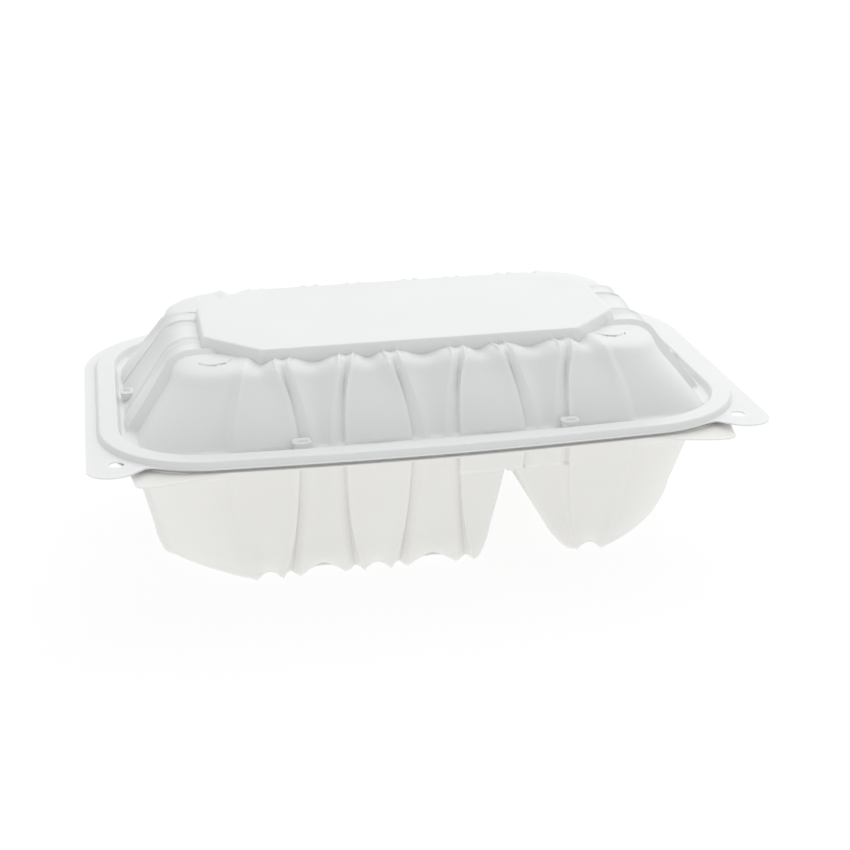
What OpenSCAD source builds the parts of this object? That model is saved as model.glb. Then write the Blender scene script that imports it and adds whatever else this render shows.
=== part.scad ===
// Two-compartment hinged food container, thermoformed from one white sheet.
// A fluted base tray with two wells, a fluted lid with a raised top panel,
// and a folded strip of the same sheet along the back that acts as the hinge.
// All lengths are in millimetres; X runs along the container, the front is -Y,
// the fold is at +Y and the base stands on Z = 0.

/* [Overall size] */
// Length of the flange, end to end
flange_length = 229.4; // [210:0.1:260]
// From the middle of the front lip to the axis of the fold at the back
flange_width = 147.4; // [130:0.1:180]
// Height of the closed container
total_height = 78; // [60:0.5:100]
// Height of the upper face of the base flange above the table
base_height = 50.3; // [35:0.1:65]
// Thickness of the formed sheet
sheet = 0.6; // [0.5:0.05:1]
// Air between the two closed flanges
flange_gap = 0.8; // [0.6:0.05:1.5]

/* [Lid top panel] */
// Length of the raised octagonal panel
panel_length = 145.2; // [100:0.1:180]
// Width of the raised octagonal panel
panel_width = 63.2; // [40:0.1:90]
// How far each cut corner reaches along the length
panel_cut_x = 17.6; // [8:0.1:25]
// How far each cut corner reaches along the width
panel_cut_y = 16.6; // [8:0.1:25]
// Height of the panel above the ridges around it
panel_rise = 3.3; // [2:0.1:6]
// Rounding of the panel's edge
panel_edge = 0.9; // [0.4:0.1:1.5]

/* [Lid walls] */
// Room left between the foot of the lid's end walls and the flange edge
lid_foot_inset_x = 13.9; // [12:0.1:20]
// Room left between the foot of the lid's long walls and the flange edge
lid_foot_inset_y = 15; // [14:0.1:22]
// Width of the sloping shoulder around the panel
shoulder_width = 12.6; // [8:0.1:16]
// How much the shoulder drops from the panel to its bend
shoulder_drop = 2.2; // [1:0.1:4]
// How far the smooth corners lie below the ridges
corner_recess = 3.2; // [1:0.1:4]
// How much deeper the lid's trough lies than its flange
trough_drop = 0.4; // [0:0.1:0.5]

/* [Flutes] */
// Half width of the middle long-side flute at the panel and at the feet
middle_flute_wide = 11.6; // [9:0.1:14]
// Half width of the middle long-side flute at the rim
middle_flute_rim = 7.6; // [6:0.1:12]
// Width of a narrow petal at the panel and at the feet
petal_narrow = 15.6; // [12:0.1:20]
// Width of a narrow petal at the rim
petal_rim = 23.5; // [18:0.1:28]
// Width of the outer flutes at the panel and at the feet
outer_flute_wide = 22; // [18:0.1:26]
// Width of the outer flutes at the rim
outer_flute_rim = 14.2; // [12:0.1:20]
// From the last notch to the smooth corner, at the panel and at the feet
last_petal_narrow = 11.8; // [8:0.1:14]
// From the last notch to the smooth corner, at the rim
last_petal_rim = 22; // [16:0.1:26]
// Half width of the middle flute of the end walls, panel and rim
end_flute_half = [10.1, 15.8];
// From the end wall's notch to the smooth corner, panel and rim
end_petal = [11.4, 14.7];
// Half the distance between the ridges beside a notch, at the panel and at the feet
ridge_half = 2.65; // [1.5:0.05:4]
// The same at the rim, where the notch is narrow
ridge_half_rim = 1.6; // [1:0.05:3]
// Depth of the notches between flutes
notch_depth = 2.4; // [1:0.1:4]
// Hollow of the wide flutes near the panel
wide_hollow = 2.1; // [0:0.1:4]
// Hollow of the narrow petals near the panel
narrow_hollow = 1.8; // [0:0.1:4]
// Outward bulge of the narrow petals near the rim
petal_bulge = 0.9; // [0:0.1:2]

/* [Rim] */
// Width of the flat lip outside the rim bead, at the ends and the back
lip_width = 3.8; // [3:0.1:6]
// The same along the front, where the lip is trimmed close to the bead
front_lip = 0.4; // [0.2:0.1:2]
// How far the middle of the front bows out
front_bow = 2.8; // [0:0.1:4]
// Half length of the bowed part
bow_reach = 86; // [75:0.5:100]
// Width of the rim bead's flat top
bead_width = 6.3; // [4:0.1:9]
// Height of the rim bead over the lid flange
bead_height = 2; // [1:0.1:4]
// How far the bead's sides lean
bead_lean = 0.9; // [0.5:0.1:2]
// Corner radius of the bead's outer foot
bead_radius = 37; // [30:0.5:45]
// Clearance between the lid's bead and the base's bead
nest_clearance = 0.5; // [0.3:0.05:1]

/* [Tabs] */
// How far the lid's corner tabs stay behind the front lip
tab_setback = 2.1; // [1:0.1:6]
// Corner radius of the lid tabs
tab_radius = 8; // [5:0.1:12]
// Length of a lid tab along the front
tab_length = 20; // [14:0.1:28]
// How far the dip between tab and lip lies behind the tab's edge
tab_dip = 6; // [3:0.1:8]
// Diameter of the hole in each lid tab
hole_diameter = 5; // [3:0.1:7]
// Distance of the hole from the end of the flange
hole_inset_x = 9.7; // [7:0.1:14]
// Distance of the hole behind the front lip
hole_inset_y = 12.8; // [10:0.1:18]
// How far the base's lifting lobes pass the front lip
lobe_reach = 2; // [0.8:0.1:3]
// Length of a lifting lobe
lobe_length = 30; // [20:0.5:40]
// How far the outer end of a lobe droops
lobe_droop = 1; // [0:0.1:2]
// How far the base's lip shows in front of the lid's
base_reach = 0.7; // [0.3:0.1:1.5]
// Distance of a lobe's outer end from the end of the flange
lobe_inset = 15; // [12:0.5:25]

/* [Vents and lugs] */
// Radius of the crescent vent slits
vent_radius = 5.6; // [4:0.1:8]
// Width of the slit
vent_slit = 0.6; // [0.4:0.05:1]
// Angle the crescent spans
vent_angle = 130; // [90:5:180]
// Distance of the vents from the middle, along the container
vent_x = 70; // [60:0.1:80]
// Distance of the front and of the back vents from the middle line
vent_y = [26.8, 33];
// Length of the stacking lugs along the foot of the lid's walls
lug_side = 5.6; // [4:0.1:9]
// Height of the lugs above the trough
lug_height = 3.2; // [2:0.1:5]
// How far the lugs stay clear of the bead
lug_clear = 0.7; // [0.4:0.1:2]
// Diameter of the dimple on a lug
dimple = 2.4; // [1:0.1:3]

/* [Base] */
// Inset of the rim of the wells from the flange edge, ends
well_rim_inset_x = 13.6; // [13:0.1:20]
// Inset of the rim of the wells from the flange edge, long sides
well_rim_inset_y = 14.6; // [14:0.1:22]
// Lean of the base's long walls from rim to feet
base_lean_y = 7.2; // [4:0.1:12]
// Lean of the base's end walls from rim to feet
base_lean_x = 10.4; // [5:0.1:16]
// Squareness of the wells' rounded corners at the feet
foot_corner = 1.15; // [1:0.05:2]
// Height of the ledge in the smooth corners, below the flange
corner_ledge_drop = 9; // [6:0.1:14]
// Depth of the ledge in the smooth corners
ledge_step = 0.9; // [0.3:0.1:2]
// Rise of the wide flutes' arches between the feet
wide_arch = 3.8; // [2:0.1:6]
// Rise of the narrow petals' arches between the feet
narrow_arch = 2.7; // [1:0.1:5]
// Width of the ring the base stands on
foot_ring = 3; // [2:0.1:5]
// Height of the wells' floors above the table
floor_lift = 4; // [2:0.1:6]
// Fillet of the wells' smooth corners at the divider
small_radius = 2; // [1:0.1:3]

/* [Divider] */
// Where the divider's crest starts, right of the middle
divider_x = 24.3; // [10:0.1:35]
// Width of the divider's crest
divider_crest = 3.1; // [2:0.1:6]
// Height of the crest above the table
divider_height = 36.3; // [25:0.1:44]
// Lean of the divider's side in the large well
divider_lean_left = 8; // [4:0.1:9]
// Lean of the divider's side in the small well
divider_lean_right = 22; // [12:0.1:23]

/* [Hidden] */
$fn = 24;

// Small lengths that belong to the sheet and the fold
flange_offset = 0.7;
fold_room = 0.65;
end_room = 0.7;
flange_dip = 1.1;

// Heights of the two flanges and of the fold's axis
lid_under = base_height + flange_gap;
lid_upper = lid_under + sheet;
hinge_z = base_height + flange_gap / 2;
fold_radius = flange_gap / 2 + sheet / 2;
trough_z = lid_under - trough_drop;
ridge_top = total_height - panel_rise;
bend_z = ridge_top - shoulder_drop;

// Lines of the rim, measured from the middle of the wells
front_y = -flange_width / 2 + flange_offset;
hinge_y = front_y + flange_width;
lip_back = hinge_y - fold_room;
end_x = flange_length / 2;
bead_out = end_x - lip_width;
lobe_y = front_y - lobe_reach;
bead_front = -front_y - front_lip - front_bow;
bead_back = lip_back - lip_width;
shift_y = -(hinge_y + fold_radius + lobe_y) / 2;

// Half lengths and half widths of the panel, the lid's foot and the wells' rim
panel_a = panel_length / 2;
panel_b = panel_width / 2;
foot_a = end_x - lid_foot_inset_x;
foot_b = -front_y - lid_foot_inset_y;
grow = (foot_a - panel_a) / (foot_b - panel_b);
well_a = end_x - well_rim_inset_x;
well_b = -front_y - well_rim_inset_y;

// Distances of the notches from the middle of a wall, at the panel and at the rim
mark_1 = [middle_flute_wide, middle_flute_rim];
mark_2 = mark_1 + [petal_narrow, petal_rim];
mark_3 = mark_2 + [outer_flute_wide, outer_flute_rim];
mark_4 = mark_3 + [last_petal_narrow, last_petal_rim];
end_1 = end_flute_half;
end_2 = end_1 + end_petal;
ridge = [ridge_half, ridge_half_rim];

function mix(a, b, t) = a + (b - a) * t;
function backwards(list) = [for (i = [len(list) - 1:-1:0]) list[i]];
function flatten(lists) = [for (l = lists) each l];

// A mark is a place on a wall: its distance from the wall's middle at the panel and
// at the rim, its share of a notch's depth, its share of a hollow, and 1 in a wide flute
at = 0;
notched = 1;
hollowed = 2;
widely = 3;
half_way = sin(135);
middle_mark = [[0, 0], 0, 1, 1];
function notch(v) = [[v - ridge, 0, 0, 0], [v, 1, 0, 0], [v + ridge, 0, 0, 0]];
function spread(a, b, n, wide) =
    [for (i = [1:n]) let (t = i / (n + 1)) [mix(a, b, t), 0, sin(180 * t), wide]];
function mirrored(list) =
    [for (m = backwards(list)) [-m[at], m[notched], m[hollowed], m[widely]]];
function first_half(v) = concat([[(v - ridge) / 2, 0, half_way, 1]], notch(v));

// Marks along a long wall and along an end wall
last_petal = concat(spread(mark_3 + ridge, mark_4, 2, 0), [[mark_4, 0, 0, 0]]);
long_half = concat(
    first_half(mark_1),
    spread(mark_1 + ridge, mark_2 - ridge, 2, 0), notch(mark_2),
    spread(mark_2 + ridge, mark_3 - ridge, 3, 1), notch(mark_3),
    last_petal);
long_marks = concat(mirrored(long_half), [middle_mark], long_half);
end_half = concat(first_half(end_1), spread(end_1 + ridge, end_2, 2, 0), [[end_2, 0, 0, 0]]);
end_marks = concat(mirrored(end_half), [middle_mark], end_half);

// A column of a wall: kind, side along X, side along Y, and its mark or share of a corner
kind = 0;
side_x = 1;
side_y = 2;
mark = 3;
corner_steps = 6;
function along(sy, list) = [for (m = list) ["long", m[at][0] < 0 ? -1 : 1, sy, m]];
function across(sx, list) = [for (m = list) ["end", sx, m[at][0] < 0 ? -1 : 1, m]];
function corner(sx, sy, turn) =
    [for (i = [0:corner_steps]) let (t = i / corner_steps) ["corner", sx, sy, turn > 0 ? t : 1 - t]];
// All columns, counterclockwise from the left end of the front
function around(marks) = concat(
    along(-1, marks), corner(1, -1, 1), across(1, end_marks), corner(1, 1, -1),
    along(1, backwards(marks)), corner(-1, 1, 1), across(-1, backwards(end_marks)), corner(-1, -1, -1));
columns = around(long_marks);

// A level of a wall: height, half length, half width, corner cuts, squareness of the
// corners, share of the way from rim to panel, outward and upward parts of its slope,
// depths of notch, narrow hollow, wide hollow and corner recess, spread of the marks
height = 0;
half_x = 1;
half_y = 2;
cut_x = 3;
cut_y = 4;
squareness = 5;
share = 6;
outward = 7;
upward = 8;
notch_deep = 9;
narrow_deep = 10;
wide_deep = 11;
corner_deep = 12;
marks_drawn = 13;
function level(z, a, b, cut, square, way, lean, deep, draw = 1) =
    concat([z, a, b], cut, [square, way], lean, deep, [draw]);
function long_y(l, x) = l[half_y] - max(0, x - (l[half_x] - l[cut_x])) * l[cut_y] / l[cut_x];
function end_x_at(l, y) = l[half_x] - max(0, y - (l[half_y] - l[cut_y])) * l[cut_x] / l[cut_y];
function depth(l, m) =
    m[notched] * l[notch_deep] + m[hollowed] * l[m[widely] == 1 ? wide_deep : narrow_deep];
function mark_at(l, m) = l[marks_drawn] * abs(mix(m[at][1], m[at][0], l[share]));

// Where a column meets a level, on the outer skin or as deep as the sheet
corner_end_room = 0.7;
corner_first_depth = 0.35;
function place_long(l, c, skin) =
    let (x = mark_at(l, c[mark]), d = depth(l, c[mark]) + skin)
        [c[side_x] * x, c[side_y] * (long_y(l, x) - d * l[outward]), l[height] - d * l[upward]];
function place_end(l, c, skin) =
    let (y = mark_at(l, c[mark]), d = depth(l, c[mark]) + skin)
        [c[side_x] * (end_x_at(l, y) - d * l[outward]), c[side_y] * y, l[height] - d * l[upward]];
function place_corner(l, c, skin) =
    let (x = l[marks_drawn] * (mix(mark_4[1], mark_4[0], l[share]) + ridge_half),
        y = l[marks_drawn] * (mix(end_2[1], end_2[0], l[share]) + corner_end_room * ridge_half),
        d = l[corner_deep] * mix(corner_first_depth, 1, c[mark]) + skin,
        p = [x, long_y(l, x) - d * l[outward]],
        q = [end_x_at(l, y) - d * l[outward], y],
        o = [p[0], q[1]],
        g = 90 * c[mark],
        power = 2 / l[squareness],
        s = o + (p - o) * pow(cos(g), power) + (q - o) * pow(sin(g), power))
        [c[side_x] * s[0], c[side_y] * s[1], l[height] - d * l[upward]];
function place(l, c, skin) =
    c[kind] == "long" ? place_long(l, c, skin)
    : c[kind] == "end" ? place_end(l, c, skin)
    : place_corner(l, c, skin);
function ring(l, skin) = [for (c = columns) place(l, c, skin)];

// Rim rings, counterclockwise from the left part of the front, which bows out
front_steps = 12;
back_steps = 8;
bow_steps = 10;
bow_margin = 2;
function bow(x) = front_bow * pow(max(0, 1 - pow(x / bow_reach, 2)), 1.5);
bow_end = mark_4[1] - bow_margin;
front_marks = [for (i = [0:bow_steps]) mix(-bow_end, bow_end, i / bow_steps)];
function front_run(front, z) = [for (x = front_marks) [x, -front - bow(x), z]];
function quarter(n) = [for (i = [0:n]) 90 * i / n];
function front_corner(a, front, radius, g) =
    let (x = a - radius + radius * sin(g))
        [x, -front + radius - radius * cos(g) - bow(x)];
function back_corners(a, back, radius, z) = concat(
    [for (g = quarter(back_steps)) [a - radius + radius * cos(g), back - radius + radius * sin(g), z]],
    [for (g = quarter(back_steps)) [-a + radius - radius * sin(g), back - radius + radius * cos(g), z]]);
function raised(p, z, side) = [side * p[0], p[1], z];
function rim_ring(a, front, back, radius, z) = concat(
    front_run(front, z),
    [for (g = quarter(front_steps)) raised(front_corner(a, front, radius, g), z, 1)],
    back_corners(a, back, radius, z),
    [for (g = quarter(front_steps)) raised(front_corner(a, front, radius, 90 - g), z, -1)]);

// An outer edge: its right front corner is a list of points, the left one mirrors it;
// a point's third number is its share of the droop
function drooped(p, side, z, droop) = [side * p[0], p[1], z - (len(p) > 2 ? p[2] * droop : 0)];
function edge_ring(front, points, a, back, radius, z, droop = 0) = concat(
    front_run(front, z),
    [for (p = points) drooped(p, 1, z, droop)],
    back_corners(a, back, radius, z),
    [for (p = backwards(points)) drooped(p, -1, z, droop)]);

// Outer edge of the lid, with a dip between the lip and each corner tab
tab_x = end_x - tab_length;
tab_y = front_y + tab_setback;
tab_center = [end_x - tab_radius, tab_y + tab_radius];
beside_turns = [4, 12, 20, 28];
tab_turns = [30, 60, 90];
tab_rise = [[0.4, 1], [3, 0.72], [6, 0.3], [9, 0.05]];
function beside_bead(g) =
    front_corner(bead_out + front_lip, bead_front + front_lip, bead_radius + front_lip, g);
tab_edge = concat(
    [for (g = beside_turns) beside_bead(g)],
    [for (t = tab_rise) [tab_x + t[0], tab_y + tab_dip * t[1]]],
    [[tab_center[0], tab_y]],
    [for (g = tab_turns) tab_center + tab_radius * [sin(g), -cos(g)]],
    [[end_x, front_y + bead_radius + lip_width]]);

// Outer edge of the base, with a drooping lobe at each end of the front
lobe_x = end_x - lobe_inset;
lobe_start = lobe_x - lobe_length;
lobe_root = front_y + front_bow * 0.6;
function lobe_edge(a) = [
    [lobe_start, lobe_root, 0],
    [lobe_start + 5, mix(lobe_root, lobe_y, 0.3), 0],
    [lobe_start + 10, mix(lobe_root, lobe_y, 0.75), 0.15],
    [lobe_start + 15, lobe_y + 0.3, 0.35],
    [lobe_x - 8, lobe_y, 0.7],
    [lobe_x - 3, lobe_y + 0.3, 0.95],
    [lobe_x - 0.8, lobe_y + 1.4, 1],
    [lobe_x, lobe_y + 3, 1],
    [lobe_x + 0.6, lobe_y + 7, 0.7],
    [lobe_x + 1.8, lobe_y + 12, 0.4],
    [lobe_x + 4, lobe_y + 18, 0.1],
    [a - 6, lobe_y + 25, 0],
    [a, lobe_y + 36, 0]];

// Faces between rings of the same length, between rings of different lengths,
// and from a ring to its centre
function band(from_a, from_b, n, flip) = [for (i = [0:n - 1]) let (j = (i + 1) % n)
    each flip ? [[from_a + i, from_b + j, from_a + j], [from_a + i, from_b + i, from_b + j]]
              : [[from_a + i, from_a + j, from_b + j], [from_a + i, from_b + j, from_b + i]]];
function fan(center, from, n, flip) = [for (i = [0:n - 1]) let (j = (i + 1) % n)
    flip ? [center, from + j, from + i] : [center, from + i, from + j]];
turn_margin = 4;
start_turn = atan2(-foot_b, -mark_4[1]) - turn_margin;
function turn_of(p) = let (g = atan2(p[1], p[0]) - start_turn) g < 0 ? g + 360 : g;
function next_turn(points, from, i, n) =
    i + 1 >= n ? 360 + turn_of(points[from]) : turn_of(points[from + i + 1]);
function first_goes(points, from_a, i, n, from_b, j, m) =
    j >= m || (i < n && next_turn(points, from_a, i, n) <= next_turn(points, from_b, j, m));
function zip(points, from_a, n, from_b, m, flip) =
    [for (i = 0, j = 0; i + j < n + m;
        step = first_goes(points, from_a, i, n, from_b, j, m), i = step ? i + 1 : i, j = step ? j : j + 1)
        let (go = first_goes(points, from_a, i, n, from_b, j, m),
            a = from_a + i % n,
            b = from_b + j % m,
            c = go ? from_a + (i + 1) % n : from_b + (j + 1) % m)
        flip ? [a, b, c] : [a, c, b]];

// Lid, from the panel down to the trough
flat = [0, 1];
smooth = [0, 0, 0, 0];
panel_cut = [panel_cut_x, panel_cut_y];
deep = [notch_depth, narrow_hollow, wide_hollow, corner_recess];
function scaled(list, by) = [for (i = [0:len(list) - 1]) list[i] * by[i]];
function lid_level(z, reach, cut, square, way, lean, deep, draw = 1) =
    level(z, panel_a + reach * grow, panel_b + reach, panel_cut * cut, square, way, lean, deep, draw);
function foot_level(z, reach, cut, square, way, lean, deep) =
    level(z, foot_a + reach, foot_b + reach, panel_cut * cut, square, way, lean, deep);
foot_deep = [notch_depth, -petal_bulge, wide_hollow, corner_recess];
half_way_in = (foot_b - panel_b) * 0.25;
lid_levels = [
    lid_level(total_height, -panel_edge * 0.6, 1, 1, 1, flat, smooth, 0.93),
    lid_level(total_height - panel_edge * 0.4, panel_edge * 0.1, 1, 1, 1, [0.7, 0.7], smooth, 0.935),
    lid_level(ridge_top, 2.4, 1, 1, 1, [0.25, 0.97], deep, 0.97),
    lid_level(ridge_top - shoulder_drop * 0.3, shoulder_width * 0.72, 0.95, 1.35, 0.92, [0.15, 1], deep),
    lid_level(bend_z, shoulder_width + 0.6, 0.8, 1.9, 0.8, [0.5, 0.87], scaled(deep, [1, 0.9, 1, 0.95])),
    lid_level(bend_z - 3.4, shoulder_width + 3.1, 0.7, 2.3, 0.62, [0.85, 0.5],
        scaled(deep, [1, 0.5, 0.9, 0.9])),
    level(mix(trough_z, bend_z, 0.48), mix(foot_a, panel_a, 0.25), mix(foot_b, panel_b, 0.25),
        panel_cut * 0.6, 3, 0.22, [0.87, 0.45], scaled(foot_deep, [0.8, 0.6, 0.6, 0.9])),
    foot_level(trough_z + sheet + 1, -0.3, 0.5, 4, 0, [0.9, 0.3], scaled(foot_deep, [0.6, 1, 0.4, 1])),
    foot_level(trough_z + sheet, 0.4, 0.5, 2.6, 0, flat, smooth)];

// The lid's rim bead, given by its insets from the bead's outer foot, and its outer edge
bead_inner = bead_width + bead_lean;
bead_foot = bead_width + 2 * bead_lean;
thin_side = sheet * 0.75;
thin_foot = sheet * 0.6;
bead_top = lid_upper + bead_height;
function rim_at(inset, radius, z) =
    rim_ring(bead_out - inset, bead_front - inset, bead_back - inset, radius - inset, z);
function bead_ring(inset, z) = rim_at(inset, bead_radius, z);
lid_rim_upper = [
    bead_ring(bead_foot, trough_z + sheet),
    bead_ring(bead_inner, bead_top),
    bead_ring(bead_lean, bead_top),
    bead_ring(0, lid_upper)];
lid_rim_under = [
    bead_ring(bead_foot - thin_foot, trough_z),
    bead_ring(bead_inner - thin_side, bead_top - sheet),
    bead_ring(bead_lean + thin_side, bead_top - sheet),
    bead_ring(thin_foot, lid_under)];
function lid_edge(z) =
    edge_ring(bead_front + front_lip, tab_edge, end_x, lip_back, bead_radius + lip_width, z);

// The lid's two skins and the faces that close them
lid_column_count = len(columns);
rim_count = len(lid_rim_upper[0]);
rim_bands = len(lid_rim_upper);
lid_rows = len(lid_levels);
lid_points = concat(
    flatten([for (l = lid_levels) ring(l, 0)]), flatten(lid_rim_upper), lid_edge(lid_upper),
    flatten([for (l = lid_levels) ring(l, sheet)]), flatten(lid_rim_under), lid_edge(lid_under),
    [[0, 0, total_height], [0, 0, total_height - sheet]]);
lid_rim_at = lid_rows * lid_column_count;
lid_half = lid_rim_at + (rim_bands + 1) * rim_count;
function lid_skin(o, center, flip) = concat(
    fan(center, o, lid_column_count, flip),
    [for (i = [0:lid_rows - 2])
        each band(o + i * lid_column_count, o + (i + 1) * lid_column_count, lid_column_count, !flip)],
    zip(lid_points, o + lid_rim_at - lid_column_count, lid_column_count,
        o + lid_rim_at, rim_count, !flip),
    rim_faces(o + lid_rim_at, !flip));
function rim_faces(from, flip) =
    [for (i = [0:rim_bands - 1])
        each band(from + i * rim_count, from + (i + 1) * rim_count, rim_count, flip)];
function edge_faces(a, b, flip) =
    band(a + rim_bands * rim_count, b + rim_bands * rim_count, rim_count, flip);
lid_faces = concat(
    lid_skin(0, 2 * lid_half, false),
    lid_skin(lid_half, 2 * lid_half + 1, true),
    edge_faces(lid_rim_at, lid_half + lid_rim_at, true));

// Levels of the base: the band above the divider's crest, then the walls of the wells
rim_z = base_height - sheet - flange_dip;
ledge_z = base_height - corner_ledge_drop;
crest_room = 1;
ledge_slope = 0.5;
rim_cut = 2;
rim_square = 2.6;
corner_recess_rim = 1.6;
corner_recess_wall = 1.8;
function sunk(z) = (rim_z - z) / rim_z;
function base_level(z, lean, deep, inset = 0) =
    let (t = sunk(z),
        a = well_a - base_lean_x * t,
        b = well_b - base_lean_y * t,
        cx = mix(rim_cut, a - mix(mark_4[1], mark_4[0], t) - ridge_half, t),
        cy = mix(rim_cut, b - mix(end_2[1], end_2[0], t) - ridge_half, t),
        square = mix(rim_square, foot_corner, pow(t, 0.7)))
    level(z, a - inset, b - inset, [cx, cy], square, pow(t, 1.5), lean, deep);
upright = [1, 0];
down = [0, -1];
rim_deep = [notch_depth, -petal_bulge, wide_hollow * 0.4, corner_recess_rim];
band_levels =
    [for (z = [rim_z, divider_height + crest_room, divider_height]) base_level(z, upright, rim_deep)];
well_levels = [
    base_level(divider_height * 0.45, [1, -0.15],
        [notch_depth, -petal_bulge * 0.3, wide_hollow * 0.6, corner_recess_wall]),
    base_level(5, [0.97, -0.25],
        [notch_depth, narrow_arch * 0.45, wide_arch * 0.5, corner_recess_wall]),
    base_level(1.3, [0.6, -0.8],
        [notch_depth, narrow_arch * 0.9, wide_arch * 0.85, 1.2], 0.9),
    base_level(0, down, [notch_depth, narrow_arch, wide_arch, 0], 2.4),
    base_level(floor_lift, down, smooth, 2.4 + foot_ring)];

// Smooth corners beside the divider: a mark there also holds the side of its well
// and its share of the way to the divider
well_side = 4;
way = 5;
foot_rounding = 1.4;
near_edge = 1.4;
function sunk_divider(z) =
    let (t = max(0, divider_height - z) / divider_height) 0.85 * t + 0.15 * pow(t, 6);
function divider_side(side, z) =
    side < 0 ? divider_x - divider_lean_left * sunk_divider(z)
             : divider_x + divider_crest + divider_lean_right * sunk_divider(z);
function on_floor(l) = l[upward] == -1 && l[notch_deep] == 0;
function foot_inset(l) = on_floor(l) ? foot_rounding : l[height] <= 0 ? 0.8 : l[height] < 2 ? 0.3 : 0;
function smooth_place(l, c, skin) =
    let (side = c[mark][well_side],
        t = c[mark][way],
        edge = divider_side(side, on_floor(l) ? 0 : l[height]) + side * foot_inset(l),
        beside = side < 0 ? mark_1 : mark_3,
        last_ridge = mix(beside[1] + ridge_half_rim, beside[0] + ridge_half, l[share]),
        recess = side < 0 ? ledge_step * 0.4 : ledge_step,
        near = edge + side * min(near_edge, 0.4 * abs(last_ridge - edge)),
        at_edge = t == 1,
        x = at_edge ? edge + side * skin : mix(last_ridge, near, t),
        inward = at_edge ? small_radius + 0.3 * skin : recess * min(1, 4 * t) + l[outward] * skin,
        on_crest = at_edge && l[height] == divider_height)
    [c[side_x] * x, c[side_y] * (l[half_y] - inward), l[height] + (on_crest ? skin : -skin * l[upward])];
function base_place(l, c, skin) =
    c[kind] == "long" && len(c[mark]) > well_side && l[height] <= divider_height
        ? smooth_place(l, c, skin) : place(l, c, skin);

// Columns of the base; right of the middle the front and the back carry the divider's marks
function divided(marks, first_way, step) =
    [for (i = [0:len(marks) - 1]) let (m = marks[i])
        [[1, 1] * m[at][1], m[notched], m[hollowed], m[widely], 1, first_way - step * i]];
flute_end = mark_1[1] + ridge_half_rim;
last_notch = notch(mark_3);
divider_marks = concat(
    [for (t = [1 / 3, 2 / 3]) [[1, 1] * mix(flute_end, divider_x, t), 0, 0.4, 0, -1, t]],
    [[[1, 1] * divider_x, 0, 0.2, 0, -1, 1]],
    [[[1, 1] * (divider_x + divider_crest), 0, 0.1, 0, 1, 1]],
    divided(notch(mark_2), 0.9, 0.1),
    divided(spread(mark_2 + ridge, mark_3 - ridge, 3, 1), 0.62, 0.15),
    divided([last_notch[0], last_notch[1]], 0.2, 0.1));
base_half = concat(first_half(mark_1), divider_marks, [last_notch[2]], last_petal);
base_columns = around(concat(mirrored(long_half), [middle_mark], base_half));
base_count = len(base_columns);
function crest_at(side, sy) = [for (i = [0:base_count - 1]) let (c = base_columns[i])
    if (c[kind] == "long" && c[side_y] == sy && c[mark][well_side] == side && c[mark][way] == 1) i][0];
left_front = crest_at(-1, -1);
right_front = crest_at(1, -1);
right_back = crest_at(1, 1);
left_back = crest_at(-1, 1);
left_ids = concat([for (i = [left_back:base_count - 1]) i], [for (i = [0:left_front]) i]);
right_ids = [for (i = [right_front:right_back]) i];
left_count = len(left_ids);
right_count = len(right_ids);

// In the band, the smooth corners' ledge lies higher than the divider's crest
function ledge_level(i) = base_level(i == 1 ? ledge_z + ledge_slope : ledge_z, upright,
    [0, 0, 0, i == 1 ? corner_recess_rim : corner_recess_rim + ledge_step]);
function band_place(i, c, skin) =
    c[kind] != "corner" || i == 0 ? base_place(band_levels[i], c, skin) : place(ledge_level(i), c, skin);
function band_ring(i, skin) = [for (c = base_columns) band_place(i, c, skin)];
function well_ring(l, ids, skin) = [for (i = ids) base_place(l, base_columns[i], skin)];

// The base's rim bead nests under the lid's
under_bead = bead_top - sheet - nest_clearance;
nest_foot = bead_inner + nest_clearance * 0.8;
bead_start = 0.3;
base_rim_upper = [
    bead_ring(nest_foot, base_height - bead_start),
    bead_ring(bead_inner - thin_side - nest_clearance, under_bead),
    bead_ring(bead_lean + thin_side + nest_clearance, under_bead),
    bead_ring(thin_foot + nest_clearance, base_height)];
base_rim_under = [
    bead_ring(nest_foot - sheet * 0.8, base_height - bead_start - sheet),
    bead_ring(bead_inner - 2 * thin_side - nest_clearance, under_bead - sheet),
    bead_ring(bead_lean + 2 * thin_side + nest_clearance, under_bead - sheet),
    bead_ring(2 * thin_foot + nest_clearance, base_height - sheet)];
base_back = hinge_y - fold_radius * 0.6;
base_end = end_x - end_room;
function base_edge(z) = edge_ring(bead_front + front_lip + base_reach, lobe_edge(base_end),
    base_end, base_back, bead_radius + lip_width, z, lobe_droop);

// The base's two skins and the faces that close them
floor_points = [[-30, 0], [70, 0]];
function skin_points(skin, rim, z) = concat(
    flatten([for (i = [0:2]) band_ring(i, skin)]), flatten(rim), base_edge(z),
    flatten([for (l = well_levels) well_ring(l, left_ids, skin)]),
    flatten([for (l = well_levels) well_ring(l, right_ids, skin)]));
base_points = concat(
    skin_points(0, base_rim_under, base_height - sheet),
    skin_points(sheet, base_rim_upper, base_height),
    [for (z = [floor_lift, floor_lift + sheet], p = floor_points) [p[0], p[1], z]]);
well_rows = len(well_levels);
base_rim_at = 3 * base_count;
left_at = base_rim_at + (rim_bands + 1) * rim_count;
right_at = left_at + well_rows * left_count;
base_skin = right_at + well_rows * right_count;
function ring_band(from_a, ids, from_b, flip) =
    [for (i = [0:len(ids) - 1])
        let (j = (i + 1) % len(ids),
            a = from_a + ids[i],
            b = from_b + i,
            c = from_a + ids[j],
            d = from_b + j)
        each flip ? [[a, d, c], [a, b, d]] : [[a, c, d], [a, d, b]]];
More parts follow.
